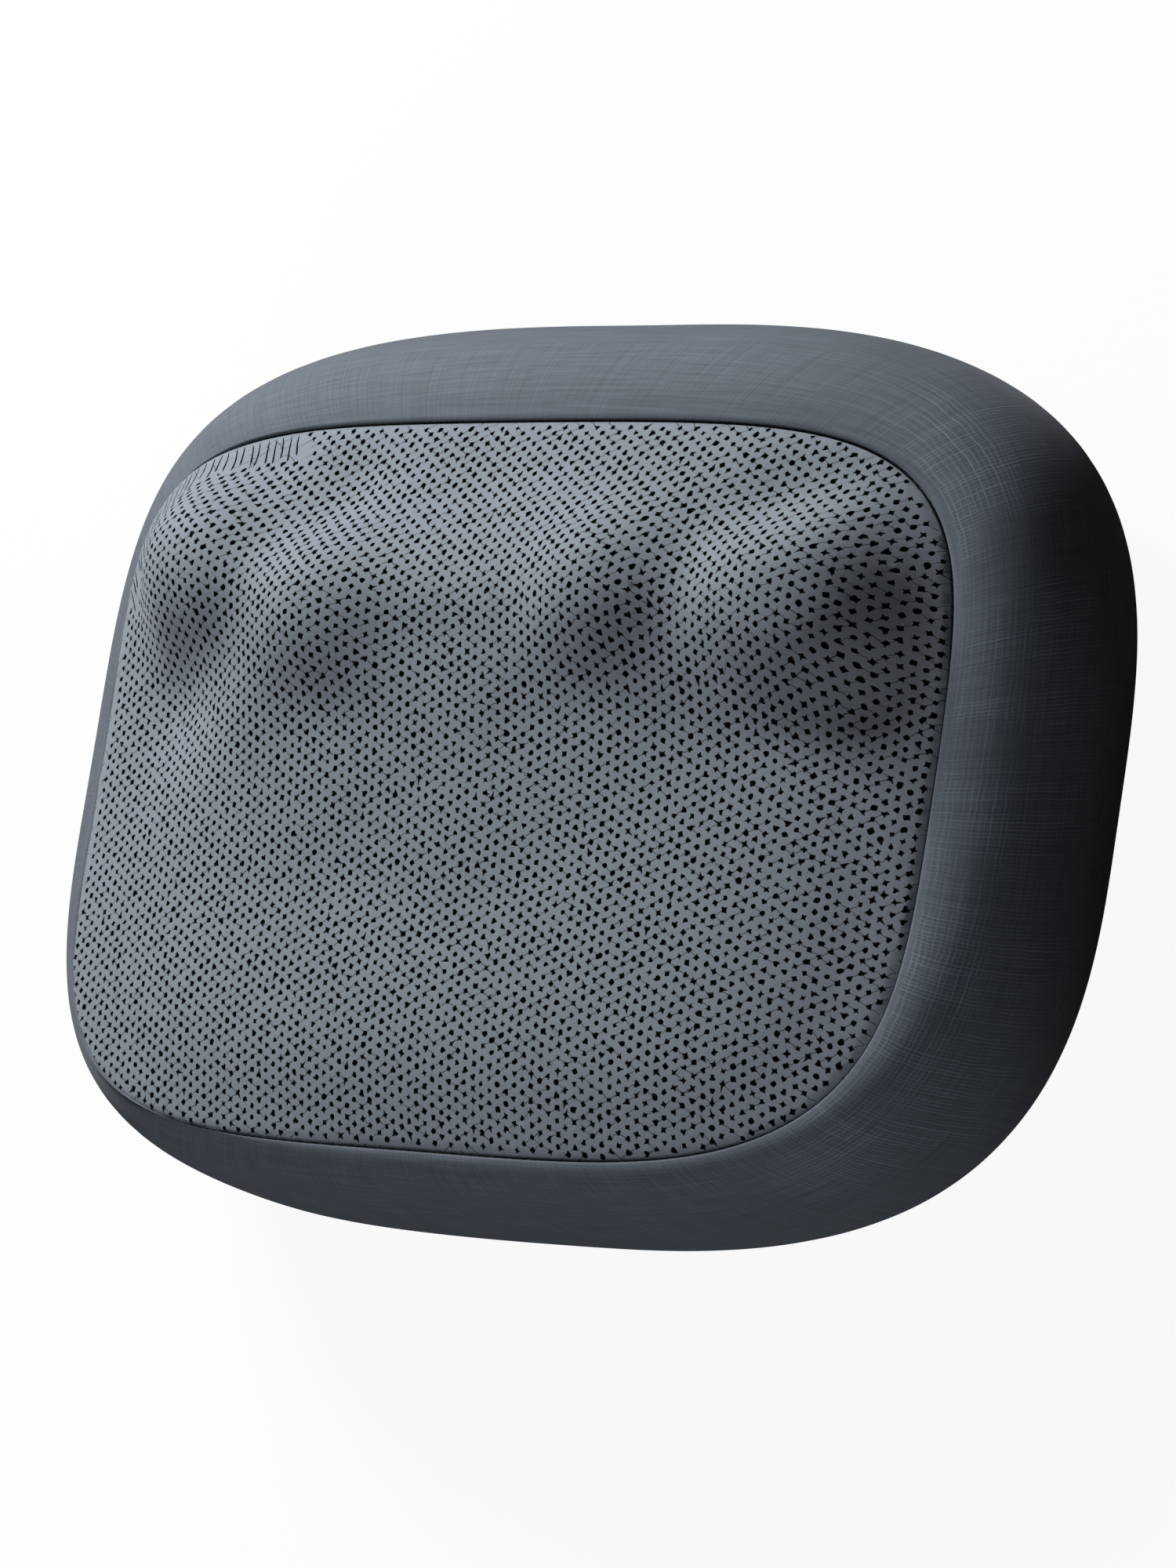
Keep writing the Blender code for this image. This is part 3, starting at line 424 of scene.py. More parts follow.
@dataclass(frozen=True)
class PerforatedFinish(Finish):
    """The front's air mesh: fuzzy cells, with hair-thin creases that link some of the holes, darkened with
    painted shade.
    """

    pitch: tuple[float, float] = HOLE_PITCH
    middle_y: float = 0.0
    sheen: float = 0.1
    crease_shade: float = -0.75
    crease_depth: float = 0.00008
    crease_wander: float = 0.0011
    crease_width: tuple[float, float] = (0.018, 0.06)
    crease_slants: tuple[tuple[float, float], ...] = ((0.5, 0.3), (-0.5, 0.24))
    drift_scale: float = 22.0
    drift_spread: float = 0.14

    def dress(self, tree: ShaderTree, shader: bpy.types.Node) -> None:
        """Fuzz, creases between holes darkened with painted shade, and slow drift of the colour."""
        place = tree.place()
        fibre = tree.group(EFFECTS.fibre, place=place, scale=3600.0, contrast=0.55,
                           relief=0.00012).outputs
        crease = self.creases(tree, place)
        # The creases darken the colour by crease_shade: painted shade in the creases, over their small dent.
        shade = tree.maths("MULTIPLY", fibre["Shade"],
                           tree.maths("MULTIPLY_ADD", crease, self.crease_shade, 1.0))
        colour = self.drifting(tree, place, shade)
        tree.feed(shader.inputs["Base Color"], colour)
        tree.fix(shader, Sheen_Weight=self.sheen, Sheen_Roughness=0.5, Specular_IOR_Level=0.2)
        height = tree.maths("SUBTRACT", fibre["Height"], tree.maths("MULTIPLY", crease, self.crease_depth))
        self.bump(tree, shader, height, 0.6)

    def creases(self, tree: ShaderTree, place: Socket) -> Socket:
        """The creases' mask.

        Args:
            tree: the material's shader tree.
            place: the place on the cloth.

        Returns:
            A value that is 1 in a crease. Creases run along the two slanted rows of the holes.
        """
        bend = tree.add("TexNoise", {"Vector": place, "Scale": 420.0, "Detail": 1.0}).outputs["Color"]
        shifted = tree.add("VectorMath", {0: bend, 1: (0.5, 0.5, 0.5)}, operation="SUBTRACT").outputs[0]
        small = tree.add("VectorMath", {0: shifted, "Scale": self.crease_wander}, operation="SCALE").outputs[0]
        spot = tree.add("VectorMath", {0: place, 1: small}, operation="ADD").outputs[0]
        split = tree.add("SeparateXYZ", {0: spot}).outputs
        column = tree.maths("DIVIDE", split[0], self.pitch[0])
        row = tree.maths("DIVIDE", tree.maths("SUBTRACT", split[1], self.middle_y), self.pitch[1])
        masks = []
        for slant, share in self.crease_slants:
            line = tree.maths("MULTIPLY_ADD", column, -slant, row)
            nearest = tree.maths("ROUND", line)
            away = tree.maths("ABSOLUTE", tree.maths("SUBTRACT", line, nearest))
            thin = tree.maths("SUBTRACT", 1.0, tree.ramp(away, *self.crease_width))
            cell = tree.add("CombineXYZ", {0: tree.maths("FLOOR", column), 1: nearest,
                                           2: slant}).outputs[0]
            chance = tree.add("TexWhiteNoise", {"Vector": cell}).outputs["Value"]
            drawn = tree.maths("LESS_THAN", chance, share)
            masks.append(tree.maths("MULTIPLY", thin, drawn))
        return tree.maths("MAXIMUM", masks[0], masks[1])


@dataclass(frozen=True)
class PitFinish(Finish):
    """The near black down the holes of the mesh: partly the dark lining's own colour, partly painted shade in
    the holes.
    """

    drift_scale: float = 30.0
    drift_spread: float = 0.3

    def dress(self, tree: ShaderTree, shader: bpy.types.Node) -> None:
        """Almost black, with a trace of fuzz: the lining's colour darkened further with painted shade."""
        place = tree.place()
        fibre = tree.group(EFFECTS.fibre, place=place, scale=2500.0, contrast=0.8, relief=0.0001).outputs
        colour = self.drifting(tree, place, fibre["Shade"])
        tree.feed(shader.inputs["Base Color"], colour)
        tree.fix(shader, Specular_IOR_Level=0.1)


@dataclass(frozen=True)
class FoamFinish(Finish):
    """Open-cell foam: small pores, their pits darkened with painted shade, and patches that have yellowed."""

    drift_scale: float = 18.0
    drift_spread: float = 0.3
    pore_scale: float = 900.0
    pore_depth: float = 0.0004

    def dress(self, tree: ShaderTree, shader: bpy.types.Node) -> None:
        """Pores from small cells, over a drifting colour; the colour is darker in the pores as painted shade.
        """
        place = tree.place()
        pores = tree.add("TexVoronoi", {"Vector": place, "Scale": self.pore_scale}).outputs["Distance"]
        # Darker where the pores dip: painted shade in the pits, over their real bump.
        shade = tree.maths("MULTIPLY_ADD", pores, 0.5, 0.75)
        colour = self.drifting(tree, place, shade)
        tree.feed(shader.inputs["Base Color"], colour)
        self.bump(tree, shader, tree.maths("MULTIPLY", pores, self.pore_depth), 0.7)


@dataclass(frozen=True)
class MouldedFinish(Finish):
    """Moulded plastic or rubber with fine grain, worn edges and some dust."""

    relief: float = 0.00004
    worn: float = 0.35
    dusty: float = 0.06
    coat: float = 0.0
    drift_scale: float = 40.0
    drift_spread: float = 0.12

    def dress(self, tree: ShaderTree, shader: bpy.types.Node) -> None:
        """Grain, edge wear and dust over a drifting colour."""
        place = tree.place()
        grain = tree.group(EFFECTS.grain, place=place, relief=self.relief, roughness=self.roughness).outputs
        wear = tree.group(EFFECTS.wear, place=place, amount=self.worn).outputs["Mask"]
        dust = tree.group(EFFECTS.dust, place=place, amount=self.dusty).outputs["Mask"]
        base = self.drifting(tree, place, 1.0)
        pale = tuple(min(1.0, c * 1.8 + 0.05) for c in self.colour)
        worn = tree.tint(wear, base, (*pale, 1.0))
        tree.feed(shader.inputs["Base Color"], tree.tint(dust, worn, (0.42, 0.40, 0.37, 1.0)))
        tree.feed(shader.inputs["Roughness"], tree.maths("ADD", grain["Roughness"],
                                                         tree.maths("MULTIPLY", dust, 0.3)))
        tree.fix(shader, Coat_Weight=self.coat, Coat_Roughness=0.2)
        self.bump(tree, shader, grain["Height"], 0.6)


@dataclass(frozen=True)
class MetalFinish(Finish):
    """Turned or pressed metal: fine drawn lines, dulled patches and bright edges."""

    lines: float = 1800.0
    drift_scale: float = 50.0
    drift_spread: float = 0.15

    def dress(self, tree: ShaderTree, shader: bpy.types.Node) -> None:
        """Drawn lines in the roughness and bump, and worn bright edges."""
        place = tree.place()
        stretched = tree.add("VectorMath", {0: place, 1: (1.0, 0.06, 1.0)}, operation="MULTIPLY").outputs[0]
        drawn = tree.noise(stretched, self.lines, 2.0)
        dull = tree.ramp(tree.noise(place, 90.0, 3.0), 0.35, 0.75)
        wear = tree.group(EFFECTS.wear, place=place, amount=0.6).outputs["Mask"]
        shade = tree.maths("MULTIPLY_ADD", dull, -0.25, 1.0)
        base = self.drifting(tree, place, shade)
        bright = tuple(min(1.0, c * 1.25) for c in self.colour)
        tree.feed(shader.inputs["Base Color"], tree.tint(wear, base, (*bright, 1.0)))
        rough = tree.maths("MULTIPLY_ADD", drawn, 0.25, self.roughness - 0.08)
        tree.feed(shader.inputs["Roughness"], tree.maths("MULTIPLY_ADD", dull, 0.12, rough))
        tree.fix(shader, Metallic=1.0)
        self.bump(tree, shader, tree.maths("MULTIPLY", drawn, 0.00002), 0.5)


@dataclass(frozen=True)
class LensFinish(Finish):
    """A frosted or coloured lens, faintly cloudy inside."""

    clear: float = 0.3
    glow: float = 0.0
    drift_scale: float = 120.0
    drift_spread: float = 0.2

    def dress(self, tree: ShaderTree, shader: bpy.types.Node) -> None:
        """A cloudy colour, some transmission and, where it is a light, a faint glow."""
        place = tree.place()
        cloudy = tree.maths("MULTIPLY_ADD", tree.noise(place, 700.0, 3.0), 0.3, 0.85)
        colour = self.drifting(tree, place, cloudy)
        tree.feed(shader.inputs["Base Color"], colour)
        tree.feed(shader.inputs["Emission Color"], colour)
        grain = tree.group(EFFECTS.grain, place=place, relief=0.00002, roughness=self.roughness).outputs
        tree.feed(shader.inputs["Roughness"], grain["Roughness"])
        tree.fix(shader, Emission_Strength=self.glow, Transmission_Weight=self.clear)
        self.bump(tree, shader, grain["Height"], 0.3)


@dataclass(frozen=True)
class BoardFinish(Finish):
    """A circuit board: solder mask over copper tracks that show as lighter lines."""

    track: float = 0.0016

    def dress(self, tree: ShaderTree, shader: bpy.types.Node) -> None:
        """Tracks from a brick pattern, and bare pads at random."""
        place = tree.place()
        turned = tree.add("Mapping", {"Vector": place, "Rotation": (0.0, math.pi / 2, 0.0)}).outputs[0]
        bricks = tree.add("TexBrick", {
            "Vector": turned, "Scale": 1.0, "Mortar Size": 0.0002, "Brick Width": self.track * 5,
            "Row Height": self.track, "Color1": (0.0, 0.0, 0.0, 1.0), "Color2": (0.3, 0.3, 0.3, 1.0),
            "Mortar": (1.0, 1.0, 1.0, 1.0)}).outputs["Color"]
        lifted = tuple(min(1.0, c * 2.2 + 0.02) for c in self.colour)
        wear = tree.group(EFFECTS.wear, place=place, amount=0.3).outputs["Mask"]
        base = tree.tint(bricks, self.rgba, (*lifted, 1.0))
        tree.feed(shader.inputs["Base Color"], tree.tint(wear, base, (0.55, 0.5, 0.35, 1.0)))
        height = tree.maths("MULTIPLY", tree.add("RGBToBW", {0: bricks}).outputs[0], 0.00003)
        self.bump(tree, shader, height, 0.5)


# ---------------------------------------------------------------- making pieces

def make_piece(name: str, points: np.ndarray, faces: Sequence, slot: Slot) -> bpy.types.Object:
    """Makes a new smooth piece with its finish, riding on the pillow.

    Args:
        name: the piece's name.
        points: its points, one row each, in the frame.
        faces: its faces, as rows of point numbers.
        slot: the material slot that it takes its finish from.

    Returns:
        The piece.
    """
    mesh = bpy.data.meshes.new(name)
    mesh.from_pydata([tuple(p) for p in points], [], [tuple(f) for f in faces])
    mesh.validate()
    mesh.shade_smooth()
    mesh.materials.append(FINISHES[slot].material())
    piece = bpy.data.objects.new(name, mesh)
    bpy.context.scene.collection.objects.link(piece)
    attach(piece, PILLOW)
    return piece


def ring_faces(rows: int, around: int, loop: bool = False) -> list[tuple[int, int, int, int]]:
    """Faces between closed rings of points.

    Args:
        rows: how many rings there are.
        around: points in each ring.
        loop: whether the last ring joins the first.

    Returns:
        The faces, facing out where rings turn to the left and go down.
    """
    faces = []
    for row in range(rows if loop else rows - 1):
        here, there = row * around, (row + 1) % rows * around
        for i in range(around):
            j = (i + 1) % around
            faces.append((here + i, there + i, there + j, here + j))
    return faces


def tube_faces(rows: int, around: int, start: int = 0) -> list[tuple[int, ...]]:
    """Faces of a tube of point rings with both of its ends closed.

    Args:
        rows: how many rings there are.
        around: points in each ring.
        start: the number of the first point.

    Returns:
        The faces, wound as ring_faces winds them, and then the two ends.
    """
    last = start + (rows - 1) * around
    faces = [tuple(start + v for v in face) for face in ring_faces(rows, around)]
    faces.append(tuple(start + i for i in range(around)))
    faces.append(tuple(last + i for i in reversed(range(around))))
    return faces


def level_grid(low: Sequence[float], high: Sequence[float], along: int,
               across: int) -> tuple[np.ndarray, ...]:
    """Spreads a grid over a level box.

    Args:
        low: the box's least corner.
        high: its greatest corner.
        along: points along X.
        across: points along Y.

    Returns:
        Shares of the way along and across, and the places in x and y, each along by across.
    """
    s, t = np.meshgrid(np.linspace(0, 1, along), np.linspace(0, 1, across), indexing="ij")
    return s, t, low[0] + (high[0] - low[0]) * s, low[1] + (high[1] - low[1]) * t


def run_along(points: np.ndarray) -> np.ndarray:
    """Returns the distance along a path, at each of its points."""
    return np.concatenate([[0.0], np.cumsum(np.linalg.norm(np.diff(points, axis=0), axis=1))])


def box_size(node: str) -> tuple[float, float]:
    """Returns the width and length of a node's box."""
    low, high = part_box(node)
    return high[0] - low[0], high[1] - low[1]


def grid_block(name: str, top: np.ndarray, bottom: np.ndarray, slot: Slot) -> bpy.types.Object:
    """Makes a closed sheet from two grids of points of the same shape.

    Args:
        name: the piece's name.
        top: the upper face's points, rows by columns by 3.
        bottom: the lower face's points.
        slot: the material slot.

    Returns:
        The piece.
    """
    rows, columns = top.shape[:2]
    count = rows * columns
    faces = []
    for r in range(rows - 1):
        for c in range(columns - 1):
            a = r * columns + c
            quad = (a, a + 1, a + columns + 1, a + columns)
            faces.append(quad)
            faces.append(tuple(count + k for k in reversed(quad)))
    edge = list(range(columns))
    edge += [r * columns + columns - 1 for r in range(1, rows)]
    edge += [(rows - 1) * columns + c for c in range(columns - 2, -1, -1)]
    edge += [r * columns for r in range(rows - 2, 0, -1)]
    for a, b in zip(edge, edge[1:] + edge[:1]):
        faces.append((b, a, count + a, count + b))
    points = np.concatenate([top.reshape(-1, 3), bottom.reshape(-1, 3)])
    return make_piece(name, points, faces, slot)


def mark_cloth(piece: bpy.types.Object, along: np.ndarray, across: np.ndarray) -> None:
    """Writes where each corner lies on the cloth, in metres, for the thread pattern.

    Args:
        piece: the cloth piece.
        along: distance along the first thread direction, one value per face corner.
        across: distance along the second.
    """
    mark = piece.data.attributes.new("cloth", "FLOAT_VECTOR", "CORNER")
    values = np.zeros((len(along), 3), np.float32)
    values[:, 0], values[:, 1] = along, across
    mark.data.foreach_set("vector", values.ravel())


def corner_points(piece: bpy.types.Object) -> np.ndarray:
    """Returns the place of each face corner, one row each."""
    mesh = piece.data
    points = np.zeros(len(mesh.vertices) * 3)
    mesh.vertices.foreach_get("co", points)
    index = np.zeros(len(mesh.loops), int)
    mesh.loops.foreach_get("vertex_index", index)
    return points.reshape(-1, 3)[index]


def mark_flat_cloth(piece: bpy.types.Object) -> None:
    """Marks a level piece's cloth from the frame's X and Y."""
    corners = corner_points(piece)
    mark_cloth(piece, corners[:, 0], corners[:, 1])


def apply_modifiers(piece: bpy.types.Object) -> None:
    """Turns the piece's modified shape into its own mesh."""
    graph = bpy.context.evaluated_depsgraph_get()
    mesh = bpy.data.meshes.new_from_object(piece.evaluated_get(graph))
    piece.modifiers.clear()
    piece.data = mesh


def remove_object(item: bpy.types.Object) -> None:
    """Removes a helper object."""
    bpy.data.objects.remove(item, do_unlink=True)


# Places along a stitch, from end to end, and its thickness there as a share of the thread's.
STITCH_SHAPE = ((-0.5, 0.35), (-0.42, 0.85), (-0.15, 1.0), (0.15, 1.0), (0.42, 0.85), (0.5, 0.35))
STITCH_SIDES = 6


def stitch_run(name: str, path: np.ndarray, closed: bool, pitch: float = 0.003, share: float = 0.72,
               radius: float = 0.00032) -> bpy.types.Object:
    """Makes a row of thread stitches along a path, each a small capsule.

    Args:
        name: the piece's name.
        path: points along the seam, close together.
        closed: whether the path joins up.
        pitch: from one stitch to the next.
        share: the part of the pitch that the thread covers.
        radius: the thread's radius.

    Returns:
        The piece.
    """
    if closed:
        path = np.vstack([path, path[:1]])
    run = run_along(path)
    count = max(1, int(round(run[-1] / pitch)))
    pitch = run[-1] / count
    turns = [FULL_TURN * i / STITCH_SIDES for i in range(STITCH_SIDES)]
    points, faces = [], []
    for k in range(count):
        faces += tube_faces(len(STITCH_SHAPE), STITCH_SIDES, len(points))
        for place, thick in STITCH_SHAPE:
            s = (k + 0.5 + place * share) * pitch
            middle = np.array([np.interp(s, run, path[:, axis]) for axis in range(3)])
            ahead = np.array([np.interp(min(s + 1e-4, run[-1]), run, path[:, axis]) for axis in range(3)])
            heading = ahead - middle
            heading /= max(np.linalg.norm(heading), 1e-12)
            side = np.cross(heading, (0.0, 0.0, 1.0))
            side /= max(np.linalg.norm(side), 1e-12)
            up = np.cross(side, heading)
            points += [middle + radius * thick * (side * math.cos(a) + up * math.sin(a)) for a in turns]
    piece = make_piece(name, np.array(points), faces, Slot.THREAD)
    mark_flat_cloth(piece)
    return piece


# ---------------------------------------------------------------- the pillow's form

@dataclass(frozen=True)
class PillowForm:
    """The cover's driving shape: a rounded outline that grows from the back to the girth."""

    seam_power: tuple[float, float] = (4.8, 3.8)
    girth_power: tuple[float, float] = (3.23, 3.15)
    bow: tuple[float, float] = (-0.0091, 0.0043)
    crown: float = 0.014
    crown_power: float = 6.0
    left_crown_power: float = 3.2
    girth_z: float = 0.0437
    swell: float = 0.0265
    tuck: float = 0.0427
    welt_radius: float = 0.0011
    left_extra: float = 0.0065
    left_flat: float = 2.0
    seam_half: tuple[float, float] = field(init=False)
    seam_y: float = field(init=False)
    seam_z: float = field(init=False)
    back_z: float = field(init=False)

    def __post_init__(self) -> None:
        """Reads the seam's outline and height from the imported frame."""
        low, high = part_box("seam_welt")
        half = tuple((high[i] - low[i]) / 2 - self.welt_radius for i in range(2))
        object.__setattr__(self, "seam_half", half)
        object.__setattr__(self, "seam_y", (high[1] + low[1]) / 2)
        object.__setattr__(self, "seam_z", high[2] - self.bow[1] - self.welt_radius)
        object.__setattr__(self, "back_z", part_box("side_cover")[0][2])

    def reach(self, angle: np.ndarray, half: Sequence[float], powers: Sequence[float],
              left: float = 0.0) -> np.ndarray:
        """Distance from the middle to a rounded outline, at each angle.

        Args:
            angle: the angles.
            half: half the outline's width and length.
            powers: how square its upper and lower corners are.
            left: what the left half is wider by.

        Returns:
            The distances.
        """
        c, s = np.cos(angle), np.sin(angle)
        power = powers[1] + (powers[0] - powers[1]) * (0.5 + 0.5 * np.tanh(6 * s))
        wide = half[0] + left * (c < 0)
        return (np.abs(c / wide) ** power + np.abs(s / half[1]) ** power) ** (-1 / power)

    def seam_reach(self, angle: np.ndarray, inset: float = 0.0) -> np.ndarray:
        """Distance from the seam's middle to the front seam, or to a line inside it."""
        half = [side - inset for side in self.seam_half]
        return self.reach(angle, half, self.seam_power, self.left_extra)

    def seam_line(self, angle: np.ndarray, inset: float = 0.0) -> np.ndarray:
        """Points of the front seam, or of a line inside it: rows of x and y."""
        reach = self.seam_reach(angle, inset)
        return np.stack([reach * np.cos(angle), self.seam_y + reach * np.sin(angle)], axis=1)

    def outline(self, angle: np.ndarray, half: Sequence[float], powers: Sequence[float],
                middle_y: float) -> np.ndarray:
        """Points of a rounded outline, one row of x and y for each angle."""
        reach = self.reach(angle, half, powers)
        return np.stack([reach * np.cos(angle), middle_y + reach * np.sin(angle)], axis=1)

    def even_angles(self, count: int) -> np.ndarray:
        """Angles that space points evenly along the seam's outline."""
        fine = np.linspace(0, 2 * np.pi, 4001)
        points = self.seam_line(fine)
        run = run_along(points)
        return np.interp(np.arange(count) / count * run[-1], run, fine)

    def seam_bow(self, x: np.ndarray, y: np.ndarray, half: Sequence[float]) -> np.ndarray:
        """Height that the seam's plane gains, y being measured from the seam's middle."""
        return self.bow[0] * (x / half[0]) ** 2 + self.bow[1] * (y / half[1]) ** 2

    def seam_points(self, angle: np.ndarray, depth: float, inset: float = 0.0) -> np.ndarray:
        """Points round the seam, or a line inside it, at a depth below its plane."""
        ring = self.seam_line(angle, inset)
        height = self.seam_z + self.seam_bow(ring[:, 0], ring[:, 1] - self.seam_y, self.seam_half)
        return np.column_stack([ring, height - depth])

    def share(self, x: np.ndarray, y: np.ndarray) -> np.ndarray:
        """How far out a point of the front lies: 0 in the middle and 1 at the seam."""
        local = y - self.seam_y
        return np.hypot(x, local) / self.seam_reach(np.arctan2(local, x))

    def rim_distance(self, x: np.ndarray, y: np.ndarray) -> np.ndarray:
        """Roughly how far a point of the front lies from the seam, in metres."""
        local = y - self.seam_y
        return self.seam_reach(np.arctan2(local, x)) - np.hypot(x, local)

    def front(self, x: np.ndarray, y: np.ndarray) -> np.ndarray:
        """Height of the crowned front, without anything pressing through it."""
        height = self.seam_z + self.seam_bow(x, y - self.seam_y, self.seam_half)
        west = np.clip(-x / np.maximum(np.hypot(x, y - self.seam_y), 1e-9), 0, 1) ** 2
        power = self.crown_power + (self.left_crown_power - self.crown_power) * west
        return height + self.crown * (1 - np.minimum(1.0, self.share(x, y)) ** power)

    def side(self, place: float, angle: np.ndarray, inset: float = 0.0) -> np.ndarray:
        """A ring of the cover's side: place is 0 at the front seam, 1 at the girth and 2 at the back."""
        rise, drop_tuck = self.seam_z - self.girth_z, self.girth_z - self.back_z
        turn = math.pi / 2 * (place if place <= 1 else place - 1)
        left = 0.0
        if place <= 1:
            out, drop, blend = self.swell * math.sin(turn), rise * (1 - math.cos(turn)), math.sin(turn)
            left = self.left_extra * (1 - blend)
            normal = np.array((rise * math.sin(turn), self.swell * math.cos(turn)))
        else:
            out = self.swell - self.tuck * (1 - math.cos(turn))
            drop, blend = rise + drop_tuck * math.sin(turn), 1.0
            normal = np.array((drop_tuck * math.cos(turn), -self.tuck * math.sin(turn)))
        normal = normal / np.linalg.norm(normal)
        half = [side + out - inset * normal[0] for side in self.seam_half]
        powers = [a + (b - a) * blend for a, b in zip(self.seam_power, self.girth_power)]
        middle_y = self.seam_y * (1 - blend)
        reach = self.reach(angle, half, powers, left)
        if place <= 1:
            west = np.clip(-np.cos(angle), 0, 1) ** 2
            reach = reach - self.left_flat * west * self.swell * blend * (1 - blend) ** 2
        ring = np.stack([reach * np.cos(angle), middle_y + reach * np.sin(angle)], axis=1)
        fade = max(0.0, 1 - drop / rise)
        height = self.seam_z - drop - inset * normal[1]
        height = height + fade * self.seam_bow(ring[:, 0], ring[:, 1] - middle_y, half)
        return np.column_stack([ring, height])

    def side_run(self, angle: np.ndarray, height: np.ndarray) -> np.ndarray:
        """Distance down the cover's side from the front seam, at each angle and height."""
        rise, fall = self.seam_z - self.girth_z, self.girth_z - self.back_z
        rim = self.seam_line(angle)
        bow = self.seam_bow(rim[:, 0], rim[:, 1] - self.seam_y, self.seam_half)
        drop = (self.seam_z + bow - height) / (1 + bow / rise)
        upper = np.arccos(1 - np.clip(drop / rise, 0, 1))
        lower = np.arcsin(np.clip((self.girth_z - height) / fall, 0, 1))
        turn = np.linspace(0, math.pi / 2, 200)
        steps = [np.hypot(self.swell * np.cos(turn), rise * np.sin(turn)),
                 np.hypot(self.tuck * np.sin(turn), fall * np.cos(turn))]
        runs = [np.concatenate([[0.0], np.cumsum((s[1:] + s[:-1]) / 2 * np.diff(turn))]) for s in steps]
        return np.where(height > self.girth_z, np.interp(upper, turn, runs[0]),
                        runs[0][-1] + np.interp(lower, turn, runs[1]))


FORM = PillowForm()

COVER_COLOUR = (0.092, 0.109, 0.134)
MESH_COLOUR = (0.180, 0.206, 0.242)

FINISHES: dict[Slot, Finish] = {
    Slot.MESH: PerforatedFinish(Slot.MESH, MESH_COLOUR, 0.85, middle_y=FORM.seam_y),
    Slot.COVER: StretchFinish(Slot.COVER, COVER_COLOUR, 0.8, pitch=0.0007, balance=0.45, contrast=1.3,
                              fuzz=0.3, sheen=0.06),
    Slot.THREAD: ClothFinish(Slot.THREAD, (0.012, 0.013, 0.016), 0.8, pitch=0.0003, length=0.003,
                             sheen=0.1),
    Slot.LINING: ClothFinish(Slot.LINING, (0.02, 0.02, 0.022), 0.9, pitch=0.0006, sheen=0.1),
    Slot.WEBBING: ClothFinish(Slot.WEBBING, (0.02, 0.02, 0.023), 0.85, pitch=0.0009, length=0.004,
                              contrast=1.2, sheen=0.3),
    Slot.FOAM: FoamFinish(Slot.FOAM, (0.55, 0.55, 0.5), 0.95),
    Slot.HOUSING: MouldedFinish(Slot.HOUSING, (0.03, 0.03, 0.032), 0.5),
    Slot.TRIM: MouldedFinish(Slot.TRIM, (0.02, 0.02, 0.022), 0.32, relief=0.00001, coat=0.3, dusty=0.02),
    Slot.LIGHT: LensFinish(Slot.LIGHT, (0.75, 0.78, 0.8), 0.3, clear=0.2, glow=0.15),
    Slot.GEAR: MouldedFinish(Slot.GEAR, (0.78, 0.77, 0.72), 0.4, worn=0.2, dusty=0.0),
    Slot.HEAD: MouldedFinish(Slot.HEAD, (0.45, 0.06, 0.03), 0.35, coat=0.2, dusty=0.0),
    Slot.LAMP: LensFinish(Slot.LAMP, (0.6, 0.02, 0.02), 0.15, clear=0.5),
    Slot.STEEL: MetalFinish(Slot.STEEL, (0.6, 0.6, 0.62), 0.3),
    Slot.BRASS: MetalFinish(Slot.BRASS, (0.7, 0.5, 0.2), 0.28),
    Slot.BOARD: BoardFinish(Slot.BOARD, (0.03, 0.2, 0.08), 0.5),
    Slot.RUBBER: MouldedFinish(Slot.RUBBER, (0.02, 0.02, 0.02), 0.8, relief=0.00006, worn=0.15),
}
# The holes' pits: the dark lining's colour, made darker still as painted shade down the holes.
PIT_LINING_AND_SHADE = PitFinish(Slot.MESH, (0.004, 0.0045, 0.0055), 0.95, name="mesh_hole_lining_and_shade")


@dataclass(frozen=True)
class Swell:
    """A soft hill or hollow of the front, placed from the middle of an arm."""

    x: float
    y: float
    radius: float
    rise: float

    def lift(self, x: np.ndarray, y: np.ndarray) -> np.ndarray:
        """Its height at places measured from the middle of the arm."""
        return self.rise * np.exp(-((x - self.x) ** 2 + (y - self.y) ** 2) / self.radius ** 2)


# The simulated cloth, in the order that its settings are made.
CLOTH_SETTINGS = {
    "quality": 7, "mass": 0.15, "air_damping": 4.0, "tension_stiffness": 18.0,
    "compression_stiffness": 8.0, "shear_stiffness": 6.0, "bending_stiffness": 0.8,
    "vertex_group_mass": "pins", "use_pressure": True, "uniform_pressure_force": 1.2,
}


